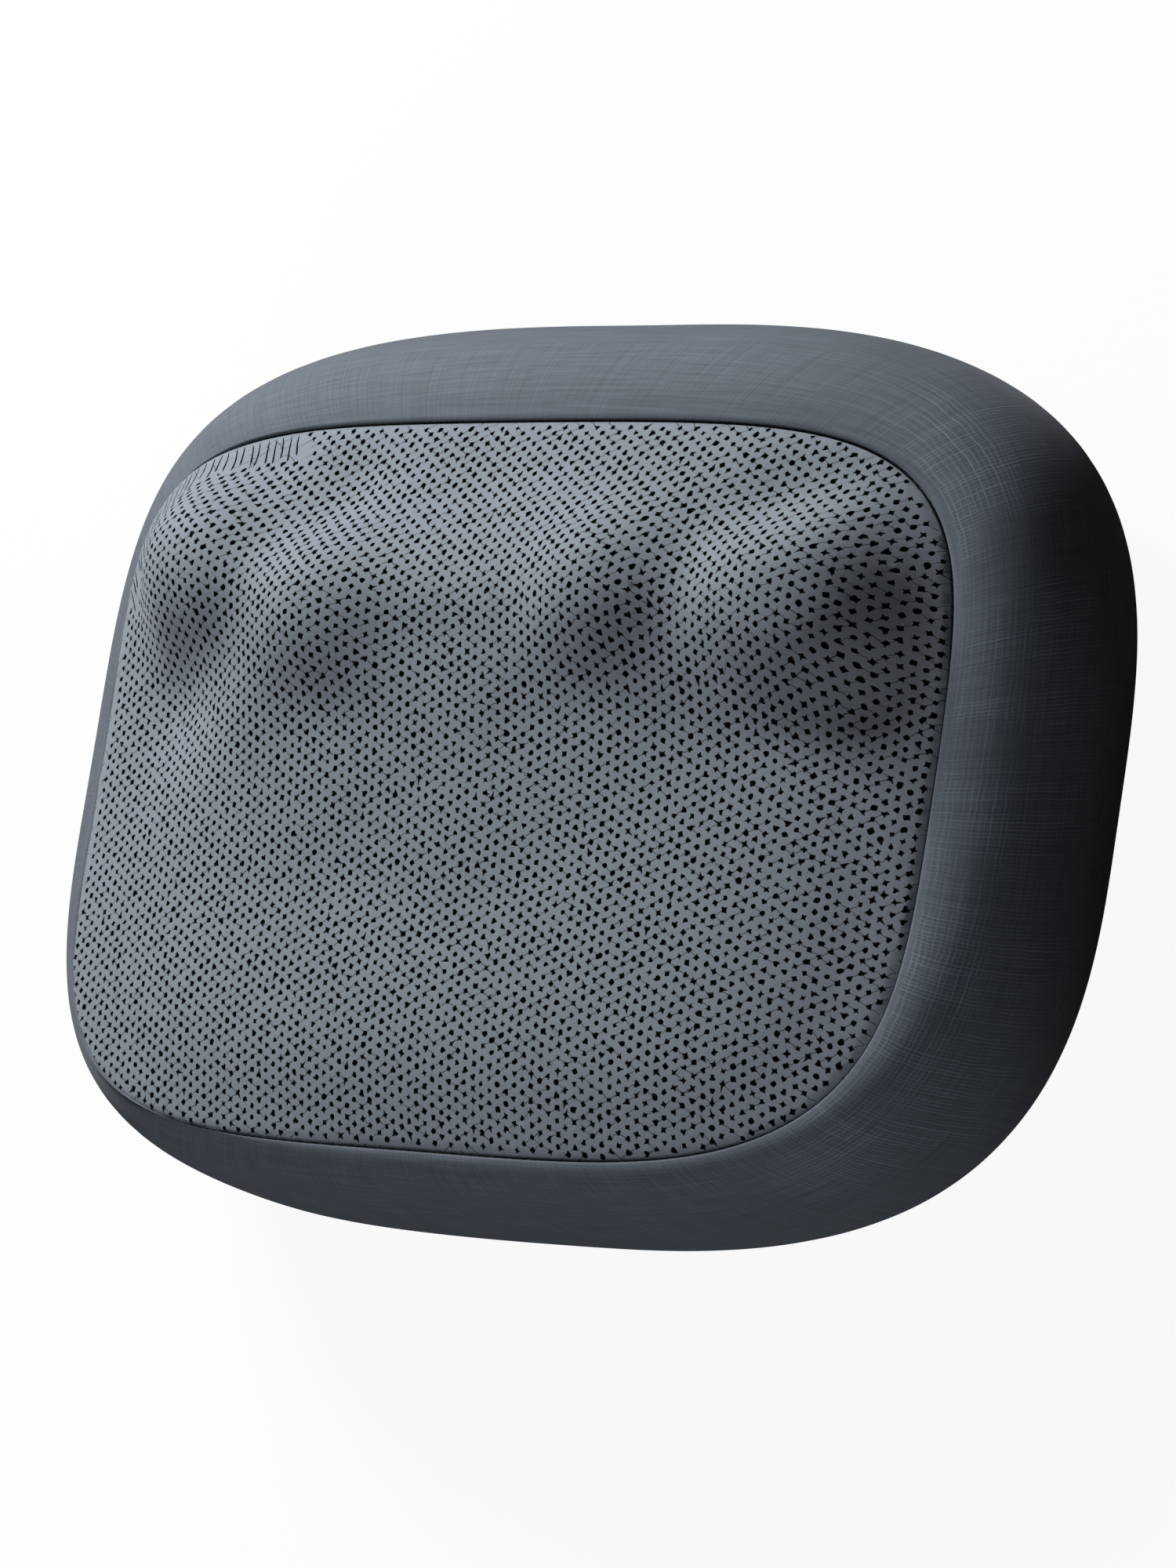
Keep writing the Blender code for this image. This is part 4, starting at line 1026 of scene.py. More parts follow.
@dataclass
class FrontDrape:
    """The front cloth pulled over the resting heads, as heights above the plain crown."""

    rings: int = 24
    spokes: int = 96
    frames: int = 26
    press_frames: int = 12
    press_radius: float = 0.026
    press_sink: float = 0.0012
    shift: tuple[float, float] = (-0.001, 0.005)
    step: float = 0.0015
    most: float = 0.0135
    least: float = -0.003
    smoothing: int = 50
    rough_rise: float = 0.0125
    held_from: float = 0.985
    press_drop: float = 0.016
    press_skin: float = 0.0006
    slope_step: float = 0.0008
    swells: dict = field(default_factory=lambda: {
        "left": (Swell(-0.004, 0.006, 0.038, 0.0100), Swell(-0.044, 0.024, 0.018, 0.0022),
                 Swell(0.0145, 0.036, 0.015, -0.0045), Swell(-0.036, -0.018, 0.024, -0.0038)),
        "right": (Swell(-0.004, 0.012, 0.037, 0.0070), Swell(0.0215, 0.031, 0.013, -0.0028)),
    })
    heights: np.ndarray = field(init=False)
    low: np.ndarray = field(init=False)

    def __post_init__(self) -> None:
        """Works the drape out once."""
        margin = 4 * self.step
        self.low = np.array([-FORM.seam_half[0] - margin, FORM.seam_y - FORM.seam_half[1] - margin])
        count = [int(2 * (half + margin) / self.step) + 1 for half in FORM.seam_half]
        x = self.low[0] + self.step * np.arange(count[0])
        y = self.low[1] + self.step * np.arange(count[1])
        grid_x, grid_y = np.meshgrid(x, y, indexing="ij")
        lift = self.simulated_lift(grid_x, grid_y)
        lift = np.clip(lift, self.least, self.most)
        for _ in range(self.smoothing):
            inner = lift[1:-1, 1:-1]
            around = lift[:-2, 1:-1] + lift[2:, 1:-1] + lift[1:-1, :-2] + lift[1:-1, 2:]
            lift[1:-1, 1:-1] = 0.5 * inner + 0.125 * around
        self.heights = lift + self.settled(grid_x, grid_y)

    def settled(self, x: np.ndarray, y: np.ndarray) -> np.ndarray:
        """Broad swell over each arm, and a hollow above it, fading out towards the seam."""
        extra = np.zeros_like(x)
        for side, swells in self.swells.items():
            low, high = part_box(f"arm_{side}")
            middle = [(low[i] + high[i]) / 2 for i in range(2)]
            for swell in swells:
                extra += swell.lift(x - middle[0], y - middle[1])
        return extra * (1 - np.clip(FORM.share(x, y), 0, 1) ** 6)

    def presses(self) -> list[np.ndarray]:
        """Where the heads press the cloth: places in x and y."""
        places = []
        for side in SIDES:
            for where in ("inner", "outer"):
                low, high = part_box(f"massage_head_{side}_{where}")
                places.append(np.array([(low[i] + high[i]) / 2 + self.shift[i] for i in range(2)]))
        return places

    def simulated_lift(self, x: np.ndarray, y: np.ndarray) -> np.ndarray:
        """Lift from a cloth simulation: a sheet held at the seam, pressed up by four round heads."""
        cloth = self.cloth_sheet()
        heads = [self.rising_head(i, place) for i, place in enumerate(self.presses())]
        scene = bpy.context.scene
        for number in range(1, self.frames + 1):
            scene.frame_set(number)
        smooth = cloth.modifiers.new("smooth", "SUBSURF")
        smooth.levels = smooth.render_levels = 2
        graph = bpy.context.evaluated_depsgraph_get()
        draped = cloth.evaluated_get(graph).to_mesh()
        tree = BVHTree.FromPolygons([v.co.copy() for v in draped.vertices],
                                    [tuple(p.vertices) for p in draped.polygons])
        base = FORM.front(x, y)
        lift = np.zeros_like(x)
        inside = FORM.share(x, y) < self.held_from
        down = Vector((0.0, 0.0, -1.0))
        for i, j in np.argwhere(inside):
            hit = tree.ray_cast(Vector((x[i, j], y[i, j], 0.3)), down)[0]
            if hit is not None:
                lift[i, j] = hit.z - base[i, j]
        scene.frame_set(1)
        for item in (cloth, *heads):
            remove_object(item)
        return lift

    def cloth_sheet(self) -> bpy.types.Object:
        """The sheet that is simulated: rings of the crowned front, pinned at the outermost."""
        angle = 2 * np.pi * np.arange(self.spokes) / self.spokes
        edge = FORM.seam_line(angle) - np.array([0.0, FORM.seam_y])
        points = [(0.0, FORM.seam_y, float(FORM.front(np.array(0.0), np.array(FORM.seam_y))))]
        for ring in range(1, self.rings + 1):
            share = math.sin(math.pi / 2 * ring / self.rings) ** 0.9
            x, y = edge[:, 0] * share, FORM.seam_y + edge[:, 1] * share
            points += [tuple(p) for p in np.column_stack([x, y, FORM.front(x, y)])]
        faces = [(0, 1 + i, 1 + (i + 1) % self.spokes) for i in range(self.spokes)]
        for face in ring_faces(self.rings, self.spokes):
            faces.append(tuple(1 + v for v in face))
        mesh = bpy.data.meshes.new("drape")
        mesh.from_pydata(points, [], faces)
        cloth = bpy.data.objects.new("drape", mesh)
        bpy.context.scene.collection.objects.link(cloth)
        pins = cloth.vertex_groups.new(name="pins")
        first = 1 + (self.rings - 1) * self.spokes
        pins.add(list(range(first, len(points))), 1.0, "REPLACE")
        change = cloth.modifiers.new("cloth", "CLOTH")
        for name, value in CLOTH_SETTINGS.items():
            setattr(change.settings, name, value)
        change.settings.effector_weights.gravity = 0.0
        change.collision_settings.distance_min = 0.0005
        change.collision_settings.collision_quality = 4
        change.point_cache.frame_end = self.frames
        return cloth

    def rising_head(self, number: int, place: np.ndarray) -> bpy.types.Object:
        """A round head that rises against the sheet and stays there."""
        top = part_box("mesh_front_panel")[1][2] - self.press_sink
        crown = float(FORM.front(place[:1], place[1:])[0])
        peak = min(top, crown + self.most - 0.001)
        bpy.ops.mesh.primitive_uv_sphere_add(segments=32, ring_count=20, radius=self.press_radius)
        head = bpy.context.object
        head.name = f"press_{number}"
        head.modifiers.new("collision", "COLLISION")
        head.collision.thickness_outer = self.press_skin
        for when, drop in ((1, self.press_drop), (self.press_frames, 0.0)):
            head.location = (place[0], place[1], peak - self.press_radius - drop)
            head.keyframe_insert("location", frame=when)
        return head

    def height(self, x: np.ndarray, y: np.ndarray) -> np.ndarray:
        """Height of the draped front at each place."""
        u = np.clip((x - self.low[0]) / self.step, 0, self.heights.shape[0] - 1.001)
        v = np.clip((y - self.low[1]) / self.step, 0, self.heights.shape[1] - 1.001)
        i, j = u.astype(int), v.astype(int)
        s, t = u - i, v - j
        grid = self.heights
        lift = ((1 - s) * (1 - t) * grid[i, j] + s * (1 - t) * grid[i + 1, j]
                + (1 - s) * t * grid[i, j + 1] + s * t * grid[i + 1, j + 1])
        return FORM.front(x, y) + lift

    def normal(self, x: np.ndarray, y: np.ndarray) -> np.ndarray:
        """Outward unit normals of the draped front."""
        e = self.slope_step
        dx = (self.height(x + e, y) - self.height(x - e, y)) / (2 * e)
        dy = (self.height(x, y + e) - self.height(x, y - e)) / (2 * e)
        normal = np.stack([-dx, -dy, np.ones_like(dx)], axis=-1)
        return normal / np.linalg.norm(normal, axis=-1, keepdims=True)


# ---------------------------------------------------------------- front panel

# A slit's outline: which side of its middle line, and how far along its length.
SLIT_OUTLINE = ((1, 0.0), (1, 0.33), (1, 0.66), (1, 0.93), (0, 1.05), (-1, 0.9), (-1, 0.55), (-1, 0.2))


@dataclass
class FrontPanel:
    """The perforated front: staggered ragged holes in rounded cells of cloth, their pits near black with the
    dark lining's colour and painted shade.
    """

    drape: FrontDrape
    pitch: tuple[float, float] = HOLE_PITCH
    hole_radius: float = 0.00079
    pit_depth: float = 0.0012
    rim_gap: float = 0.00032
    rim_steps: int = 640
    thickness: float = 0.004
    roll_width: float = 0.0012
    roll_depth: float = 0.0006
    cell_rise: float = 0.00003
    lip_drop: float = 0.00003
    points_per_hole: int = 8
    sharp_degrees: float = 38.0
    slit_angles: tuple[float, float] = (133.0, 161.0)
    slit_length: float = 0.0115
    slit_pitch: float = 0.0029
    slit_heading: tuple[float, float] = (0.38, -0.66)
    hole_jitter: float = 0.00011
    cell_jitter: float = 0.00006
    hole_clear: float = 0.0012
    cell_clear: float = 0.0016
    under_step: float = 0.008
    seed: int = 11

    def build(self) -> list[bpy.types.Object]:
        """Builds the panel.

        Returns:
            The panel, one closed body with its holes as real pits.
        """
        rng = np.random.default_rng(self.seed)
        centres = self.hole_centres(rng)
        rings = self.hole_rings(centres, rng)
        slits, slit_middles = self.slit_rings(rng)
        rings = np.concatenate([rings, slits])
        middles = np.concatenate([centres, slit_middles])
        knots = self.cell_middles(rng)
        rim = self.rim_ring()
        return [self.assemble(rim, rings, middles, knots)]

    def lattice(self) -> np.ndarray:
        """Places of the staggered columns of holes, column by column."""
        columns = int(FORM.seam_half[0] / self.pitch[0]) + 1
        rows = int(FORM.seam_half[1] / self.pitch[1]) + 1
        return np.array([(i * self.pitch[0], FORM.seam_y + (j + 0.5 * (i % 2)) * self.pitch[1])
                         for i in range(-columns, columns + 1) for j in range(-rows, rows + 1)])

    def hole_centres(self, rng: np.random.Generator) -> np.ndarray:
        """Places of the holes, in staggered columns, inside the rim and clear of the slits."""
        spots = self.lattice()
        spots = spots + rng.normal(0.0, self.hole_jitter, spots.shape)
        distance = FORM.rim_distance(spots[:, 0], spots[:, 1])
        return spots[(distance > self.hole_clear) & ~self.in_slit_band(spots, distance)]

    def in_slit_band(self, spots: np.ndarray, distance: np.ndarray) -> np.ndarray:
        """Whether each spot lies where the holes are drawn out into slits."""
        angle = np.degrees(np.arctan2(spots[:, 1] - FORM.seam_y, spots[:, 0])) % 360
        low, high = self.slit_angles
        return (angle > low - 4) & (angle < high) & (distance < self.slit_length + 0.0004)

    def hole_rings(self, centres: np.ndarray, rng: np.random.Generator) -> np.ndarray:
        """The holes' outlines, holes by points by 2: three or four blunt arms, each hole different."""
        count, n = len(centres), self.points_per_hole
        angle = 2 * np.pi * np.arange(n) / n + rng.uniform(0, 2 * np.pi, (count, 1))
        arms = rng.choice([3, 4, 4], (count, 1))
        radius = 1 + 0.34 * np.cos(arms * (angle - rng.uniform(0, 2 * np.pi, (count, 1))))
        radius = radius * rng.uniform(0.82, 1.18, (count, n)) * rng.uniform(0.86, 1.14, (count, 1))
        tailed = rng.random(count) < 0.3
        tail = rng.integers(0, n, count)
        radius[tailed, tail[tailed]] *= rng.uniform(1.3, 1.9, tailed.sum())
        radius *= self.hole_radius
        room = FORM.rim_distance(centres[:, 0], centres[:, 1])[:, None] - self.rim_gap - 0.00025
        radius = np.minimum(radius, np.maximum(room, 0.0002))
        return centres[:, None, :] + radius[..., None] * np.stack([np.cos(angle), np.sin(angle)], axis=-1)

    def slit_rings(self, rng: np.random.Generator) -> tuple[np.ndarray, np.ndarray]:
        """The slits where the cloth is drawn tight: long thin outlines and their middles."""
        low, high = (math.radians(a) for a in (self.slit_angles[0] - 3, self.slit_angles[1]))
        angles = FORM.even_angles(2000)
        angles = angles[(angles > low) & (angles < high)]
        edge = FORM.seam_line(angles)
        run = run_along(edge)
        count = int(run[-1] / self.slit_pitch)
        rings, middles = [], []
        for k in range(count):
            s = (k + rng.uniform(-0.18, 0.18)) * self.slit_pitch
            here = np.array([np.interp(s, run, edge[:, a]) for a in (0, 1)])
            ahead = np.array([np.interp(s + 0.0005, run, edge[:, a]) for a in (0, 1)])
            along = (ahead - here) / np.linalg.norm(ahead - here)
            inward = np.array([-along[1], along[0]])
            length = self.slit_length * rng.uniform(0.62, 1.0)
            start = here + inward * (self.rim_gap + 0.0005)
            heading = inward * 0.3 + np.array(self.slit_heading) + rng.uniform(-0.08, 0.08) * along
            heading /= np.linalg.norm(heading)
            across = np.array([-heading[1], heading[0]])
            bow = rng.uniform(-0.0004, 0.0004)
            outline = []
            for side, share in SLIT_OUTLINE:
                wide = 0.00024 + 0.00016 * share ** 3
                middle = start + heading * length * share + across * bow * math.sin(math.pi * share)
                outline.append(middle - side * across * wide)
            rings.append(outline)
            middles.append(start + heading * length * 0.6 + across * bow * math.sin(math.pi * 0.6))
        return np.array(rings), np.array(middles)

    def cell_middles(self, rng: np.random.Generator) -> np.ndarray:
        """The middles of the cloth's cells, two for each hole, which stand proud of the holes' lips."""
        aside = np.array([(self.pitch[0] * 2 / 3, 0.0), (self.pitch[0] / 3, self.pitch[1] / 2)])
        spots = (self.lattice()[:, None, :] + aside).reshape(-1, 2)
        spots = spots + rng.normal(0.0, self.cell_jitter, spots.shape)
        distance = FORM.rim_distance(spots[:, 0], spots[:, 1])
        return spots[(distance > self.cell_clear) & ~self.in_slit_band(spots, distance + 0.0003)]

    def rim_ring(self) -> np.ndarray:
        """The panel's outer edge, just inside the seam."""
        return FORM.seam_line(FORM.even_angles(self.rim_steps), self.rim_gap)

    def surface(self, spots: np.ndarray, rise: np.ndarray) -> np.ndarray:
        """Points of the draped cloth at flat spots, raised along its normal and rolled in at the rim."""
        x, y = spots[:, 0], spots[:, 1]
        distance = FORM.rim_distance(x, y) - self.rim_gap
        roll = np.clip(1 - distance / self.roll_width, 0, 1) ** 2 * self.roll_depth
        base = np.stack([x, y, self.drape.height(x, y)], axis=-1)
        return base + self.drape.normal(x, y) * (rise - roll)[:, None]

    def assemble(self, rim: np.ndarray, rings: np.ndarray, middles: np.ndarray,
                 knots: np.ndarray) -> bpy.types.Object:
        """Joins rim, holes and cells into one closed cloth body.

        Args:
            rim: the panel's edge.
            rings: the holes' outlines.
            middles: a point inside each hole.
            knots: the raised middles of the cells.

        Returns:
            The panel.
        """
        holes, n = rings.shape[:2]
        flat = np.concatenate([rim, rings.reshape(-1, 2), middles, knots])
        first_ring, first_middle = len(rim), len(rim) + holes * n
        first_knot = first_middle + holes
        edges = [(i, (i + 1) % len(rim)) for i in range(len(rim))]
        for h in range(holes):
            start = first_ring + h * n
            edges += [(start + k, start + (k + 1) % n) for k in range(n)]
        made = delaunay_2d_cdt([Vector(p) for p in flat], edges, [], 0, 1e-9, True)
        spots = np.array([tuple(p) for p in made[0]])
        source = np.array([min(ids) if ids else -1 for ids in made[3]])
        triangles = np.array([f for f in made[2] if len(f) == 3])
        kind = np.full(len(spots), 3)
        kind[(source >= 0) & (source < first_ring)] = 0
        kind[(source >= first_ring) & (source < first_middle)] = 1
        kind[(source >= first_middle) & (source < first_knot)] = 2
        hole = np.full(len(spots), -1)
        ring_points = kind == 1
        hole[ring_points] = (source[ring_points] - first_ring) // n
        hole[kind == 2] = source[kind == 2] - first_middle
        pit = self.pit_triangles(triangles, spots, kind, hole, rings, middles)
        rise = np.zeros(len(spots))
        rise[kind == 1] = -self.lip_drop
        rise[kind == 2] = -self.pit_depth
        rise[kind == 3] = self.cell_rise
        rise[(kind == 3) & (source < 0)] = 0.0
        top = self.surface(spots, rise)
        return self.close_body(top, spots, triangles, pit, kind == 0)

    def pit_triangles(self, triangles: np.ndarray, spots: np.ndarray, kind: np.ndarray,
                      hole: np.ndarray, rings: np.ndarray, middles: np.ndarray) -> np.ndarray:
        """Whether each triangle lies inside a hole."""
        same = (hole[triangles[:, 0]] >= 0) & (hole[triangles[:, 0]] == hole[triangles[:, 1]]) \
            & (hole[triangles[:, 1]] == hole[triangles[:, 2]])
        pit = same & (kind[triangles] == 2).any(axis=1)
        for index in np.flatnonzero(same & ~pit):
            outline = rings[hole[triangles[index, 0]]]
            x, y = spots[triangles[index]].mean(axis=0)
            ahead = np.roll(outline, -1, axis=0)
            crosses = (outline[:, 1] > y) != (ahead[:, 1] > y)
            at = outline[:, 0] + (y - outline[:, 1]) / (ahead[:, 1] - outline[:, 1] + 1e-15) \
                * (ahead[:, 0] - outline[:, 0])
            pit[index] = (crosses & (x < at)).sum() % 2 == 1
        return pit

    def close_body(self, top: np.ndarray, spots: np.ndarray, triangles: np.ndarray, pit: np.ndarray,
                   on_rim: np.ndarray) -> bpy.types.Object:
        """Adds the rolled edge and the plain underside to the top, and makes the piece."""
        order = np.flatnonzero(on_rim)
        turn = np.arctan2(spots[order, 1] - FORM.seam_y, spots[order, 0])
        order = order[np.argsort(turn)]
        edge = top[order]
        points = [top]
        faces = [tuple(t) for t in triangles]
        last, count = order, len(top)
        size = len(order)
        for inward, drop in ((0.0001, 0.0009), (0.0004, 0.0024), (0.0016, self.thickness)):
            ring = edge.copy()
            middle = np.array([0.0, FORM.seam_y])
            away = edge[:, :2] - middle
            ring[:, :2] -= away / np.linalg.norm(away, axis=1, keepdims=True) * inward
            ring[:, 2] -= drop
            now = np.arange(count, count + size)
            faces += [(last[i], now[i], now[(i + 1) % size], last[(i + 1) % size]) for i in range(size)]
            points.append(ring)
            last, count = now, count + size
        flat = [Vector(p) for p in points[-1][:, :2]]
        step = self.under_step
        grid = [(x, y) for x in np.arange(-0.132, 0.133, step) for y in np.arange(-0.104, 0.083, step)
                if FORM.rim_distance(np.array(x), np.array(y)) > 0.006]
        made = delaunay_2d_cdt(flat + [Vector(p) for p in grid],
                               [(i, (i + 1) % size) for i in range(size)], [], 0, 1e-9, True)
        under = np.array(grid)
        height = FORM.front(under[:, 0], under[:, 1]) - self.thickness
        points.append(np.column_stack([under, height]))
        number = [last[min(ids)] if min(ids) < size else count + min(ids) - size for ids in made[3]]
        faces += [tuple(number[v] for v in reversed(face)) for face in made[2]]
        piece = make_piece("mesh_front", np.concatenate(points), faces, Slot.MESH)
        # The pits take the near black finish: the lining's colour with painted shade in the holes.
        piece.data.materials.append(PIT_LINING_AND_SHADE.material())
        slots = np.zeros(len(piece.data.polygons), np.int32)
        slots[:len(triangles)][pit] = 1
        piece.data.polygons.foreach_set("material_index", slots)
        piece.data.set_sharp_from_angle(angle=math.radians(self.sharp_degrees))
        return piece

    def dress(self, pieces: list[bpy.types.Object]) -> None:
        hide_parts("mesh_front_panel")


# ---------------------------------------------------------------- cover and seams

@dataclass
class SideCover:
    """The stretch cover round the sides: rolled in at the front seam, tight at the girth."""

    around: int = 560
    edge_gap: float = 0.00012
    places: int = 46
    inner_places: int = 9
    thickness: float = 0.0013
    roll_depth: float = 0.0006
    roll_width: float = 0.0014
    groove_depth: float = 0.0026
    uneven: float = 0.00035
    opening_margin: float = 0.0006
    opening_around: int = 64

    def build(self) -> list[bpy.types.Object]:
        """Builds the cover as one closed skin with its opening for the control plate."""
        angle = FORM.even_angles(self.around)
        rings = [self.groove_ring(angle)]
        first = 2 / math.pi * math.asin(self.edge_gap / FORM.swell)
        second = 2 / math.pi * math.asin(self.roll_width / FORM.swell)
        places = list(np.linspace(first, second, 6))[:-1]
        places += list(np.linspace(second, 1.0, self.places // 2))[:-1]
        places += list(np.linspace(1.0, 2.0, self.places // 2))
        for place in places:
            rings.append(self.outer_ring(place, angle))
        inner = [FORM.side(place, angle, self.thickness)
                 for place in np.linspace(1.97, 0.12, self.inner_places)]
        inner.append(self.groove_ring(angle) - np.array([0.0, 0.0, 0.0016]))
        rings += inner
        points = np.concatenate(rings)
        faces = ring_faces(len(rings), self.around, loop=True)
        cover = make_piece("stretch_cover", points, faces, Slot.COVER)
        self.cut_opening(cover)
        self.mark_threads(cover)
        return [cover]

    def groove_ring(self, angle: np.ndarray) -> np.ndarray:
        """The cover's edge, down in the seam's groove."""
        return FORM.seam_points(angle, self.groove_depth, -self.edge_gap)

    def outer_ring(self, place: float, angle: np.ndarray) -> np.ndarray:
        """A ring of the outer face: rolled in near the seam and slightly uneven over the foam."""
        ring = FORM.side(place, angle)
        out = FORM.swell * math.sin(math.pi / 2 * min(place, 1.0))
        roll = max(0.0, 1 - out / self.roll_width) ** 2 * self.roll_depth
        ring[:, 2] -= roll
        fade = math.sin(math.pi * min(1.0, place / 2)) ** 0.5 if 0 < place < 2 else 0.0
        wave = (np.sin(3 * angle + 5 * place) + 0.7 * np.sin(7 * angle - 4 * place + 1.0)
                + 0.5 * np.sin(12 * angle + 9 * place + 2.0))
        outward = np.column_stack([np.cos(angle), np.sin(angle)])
        ring[:, :2] -= outward * (self.uneven * fade * (0.5 + 0.25 * wave))[:, None]
        return ring

    def cut_opening(self, cover: bpy.types.Object) -> None:
        """Cuts the opening for the control plate through the left end."""
        low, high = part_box("control_plate")
        half = [(high[i] - low[i]) / 2 + self.opening_margin for i in (1, 2)]
        middle = [(high[i] + low[i]) / 2 for i in (1, 2)]
        around = self.opening_around
        angle = FULL_TURN * np.arange(around) / around
        reach = FORM.reach(angle, half, (5.0, 5.0))
        y, z = middle[0] + reach * np.cos(angle), middle[1] + reach * np.sin(angle)
        rings = [np.column_stack([np.full(around, x), y, z]) for x in (high[0] + 0.004, low[0] - 0.012)]
        cutter = make_piece("opening_cutter", np.concatenate(rings), tube_faces(2, around), Slot.COVER)
        change = cover.modifiers.new("opening", "BOOLEAN")
        change.operation, change.solver, change.object = "DIFFERENCE", "EXACT", cutter
        apply_modifiers(cover)
        remove_object(cutter)

    def mark_threads(self, cover: bpy.types.Object) -> None:
        """Lays the threads round the cover and down its side, without a jump where the turn closes."""
        corners = corner_points(cover)
        height = corners[:, 2]
        middle = FORM.seam_y * np.clip((height - FORM.girth_z) / (FORM.seam_z - FORM.girth_z), 0, 1)
        turn = np.arctan2(corners[:, 1] - middle, corners[:, 0])
        down = FORM.side_run(turn, height)
        starts = np.zeros(len(cover.data.polygons), int)
        totals = np.zeros(len(cover.data.polygons), int)
        cover.data.polygons.foreach_get("loop_start", starts)
        cover.data.polygons.foreach_get("loop_total", totals)
        first = np.repeat(turn[starts], totals)
        turn = turn - np.round((turn - first) / (2 * np.pi)) * 2 * np.pi
        fine = np.linspace(-2 * np.pi, 2 * np.pi, 4001)
        half = [side + FORM.swell for side in FORM.seam_half]
        edge = FORM.outline(fine, half, FORM.girth_power, 0.0)
        run = run_along(edge)
        mark_cloth(cover, np.interp(turn, fine, run), down)

    def dress(self, pieces: list[bpy.types.Object]) -> None:
        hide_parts("side_cover")


@dataclass
class FrontSeam:
    """The sewn seam between front and cover: a dark cord deep in the groove, and its stitches."""

    cord_radius: float = 0.00062
    cord_depth: float = 0.0021
    stitch_depth: float = 0.0013
    around: int = 480
    sides: int = 8

    def build(self) -> list[bpy.types.Object]:
        """Builds the cord and the stitches."""
        angle = FORM.even_angles(self.around)
        path = FORM.seam_points(angle, self.cord_depth)
        away = path[:, :2] - np.array([0.0, FORM.seam_y])
        away = np.column_stack([away / np.linalg.norm(away, axis=1, keepdims=True), np.zeros(len(path))])
        rings = []
        for i in range(self.sides):
            turn = -FULL_TURN * i / self.sides
            rings.append(path + self.cord_radius * (math.cos(turn) * away
                                                    + math.sin(turn) * np.array([0.0, 0.0, 1.0])))
        cord = make_piece("seam_cord", np.concatenate(rings),
                          ring_faces(self.sides, self.around, loop=True), Slot.THREAD)
        mark_flat_cloth(cord)
        stitches = stitch_run("seam_stitches", FORM.seam_points(angle, self.stitch_depth), True,
                              pitch=0.0029, share=0.8, radius=0.00026)
        return [cord, stitches]

    def dress(self, pieces: list[bpy.types.Object]) -> None:
        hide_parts("seam_welt")


# ---------------------------------------------------------------- back of the pillow

@dataclass
class BackPanel:
    """The flat back cloth with its hem stitches."""

    around: int = 320
    hem_in: float = 0.0045

    def build(self) -> list[bpy.types.Object]:
        """Builds the back cloth and the row of stitches round its hem."""
        low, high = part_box("back_panel")
        half = [(high[i] - low[i]) / 2 for i in range(2)]
        angle = 2 * np.pi * np.arange(self.around) / self.around
        edge = FORM.outline(angle, half, FORM.girth_power, 0.0)
        profile = [(1.0, high[2] - 0.0008), (0.997, high[2] - 0.0002), (0.985, high[2])]
        profile += [(share, high[2]) for share in (0.9, 0.7, 0.4, 0.02)]
        bottom = [(1.0, low[2] + 0.0006), (0.997, low[2] + 0.0001), (0.985, low[2]),
                  (0.968, low[2] + 0.00025), (0.95, low[2])]
        bottom += [(share, low[2]) for share in (0.85, 0.65, 0.4, 0.02)]
        profile = bottom[::-1] + profile
        rings = [np.column_stack([edge * share, np.full(self.around, z)]) for share, z in profile]
        faces = [tuple(reversed(face)) for face in tube_faces(len(rings), self.around)]
        cloth = make_piece("back_cloth", np.concatenate(rings), faces, Slot.COVER)
        mark_flat_cloth(cloth)
        hem = FORM.outline(FORM.even_angles(240), [side - self.hem_in for side in half],
                           FORM.girth_power, 0.0)
        path = np.column_stack([hem, np.full(len(hem), low[2] + 0.00012)])
        stitches = stitch_run("hem_stitches", path, True, pitch=0.0034)
        return [cloth, stitches]

    def dress(self, pieces: list[bpy.types.Object]) -> None:
        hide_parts("back_panel")


@dataclass
class Strap:
    """The elastic strap with its two sewn patches."""

    ribs: int = 15
    rib_height: float = 0.00016
    patch_inset: float = 0.0022
    edge_ease: float = 0.0003
    nodes: dict = field(default_factory=lambda: {
        "elastic_band": "elastic_strap", "sewn_patch_left": "strap_patch_left",
        "sewn_patch_right": "strap_patch_right"})

    def build(self) -> list[bpy.types.Object]:
        """Builds the strap, its patches and their stitches."""
        strap = self.band("elastic_band", "elastic_strap", 150)
        pieces = [strap]
        for side in SIDES:
            patch = self.band(f"sewn_patch_{side}", f"strap_patch_{side}", 24)
            low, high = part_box(f"strap_patch_{side}")
            inset, z = self.patch_inset, low[2] + 0.0001
            corners = [(low[0] + inset, low[1] + inset), (high[0] - inset, low[1] + inset),
                       (high[0] - inset, high[1] - inset), (low[0] + inset, high[1] - inset)]
            route = [corners[0], corners[1], corners[2], corners[3], corners[0], corners[2]]
            path = np.array([(x, y, z) for x, y in route])
            pieces += [patch, stitch_run(f"patch_stitches_{side}", path, False, pitch=0.0022,
                                         radius=0.00022)]
        return pieces

    def band(self, name: str, node: str, along: int) -> bpy.types.Object:
        """A ribbed band of webbing in the space of a node."""
        low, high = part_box(node)
        across = 4 * self.ribs + 1
        s, t, x, y = level_grid(low, high, along + 1, across)
        ribs = 0.5 + 0.5 * np.cos(2 * np.pi * self.ribs * t)
        weave = 0.25 * np.cos(np.pi * along / 1.5 * s)
        depth = self.rib_height * (ribs + weave * ribs)
        edge = np.minimum(t, 1 - t) * across
        round_off = np.clip(1 - edge / 2.0, 0, 1) ** 2 * self.edge_ease
        top = np.stack([x, y, high[2] - 0.0001 - round_off], axis=-1)
        bottom = np.stack([x, y, low[2] + depth + round_off], axis=-1)
        piece = grid_block(name, top, bottom, Slot.WEBBING)
        mark_flat_cloth(piece)
        return piece

    def dress(self, pieces: list[bpy.types.Object]) -> None:
        for piece in pieces:
            node = self.nodes.get(piece.name)
            if not node:
                continue
            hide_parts(node)


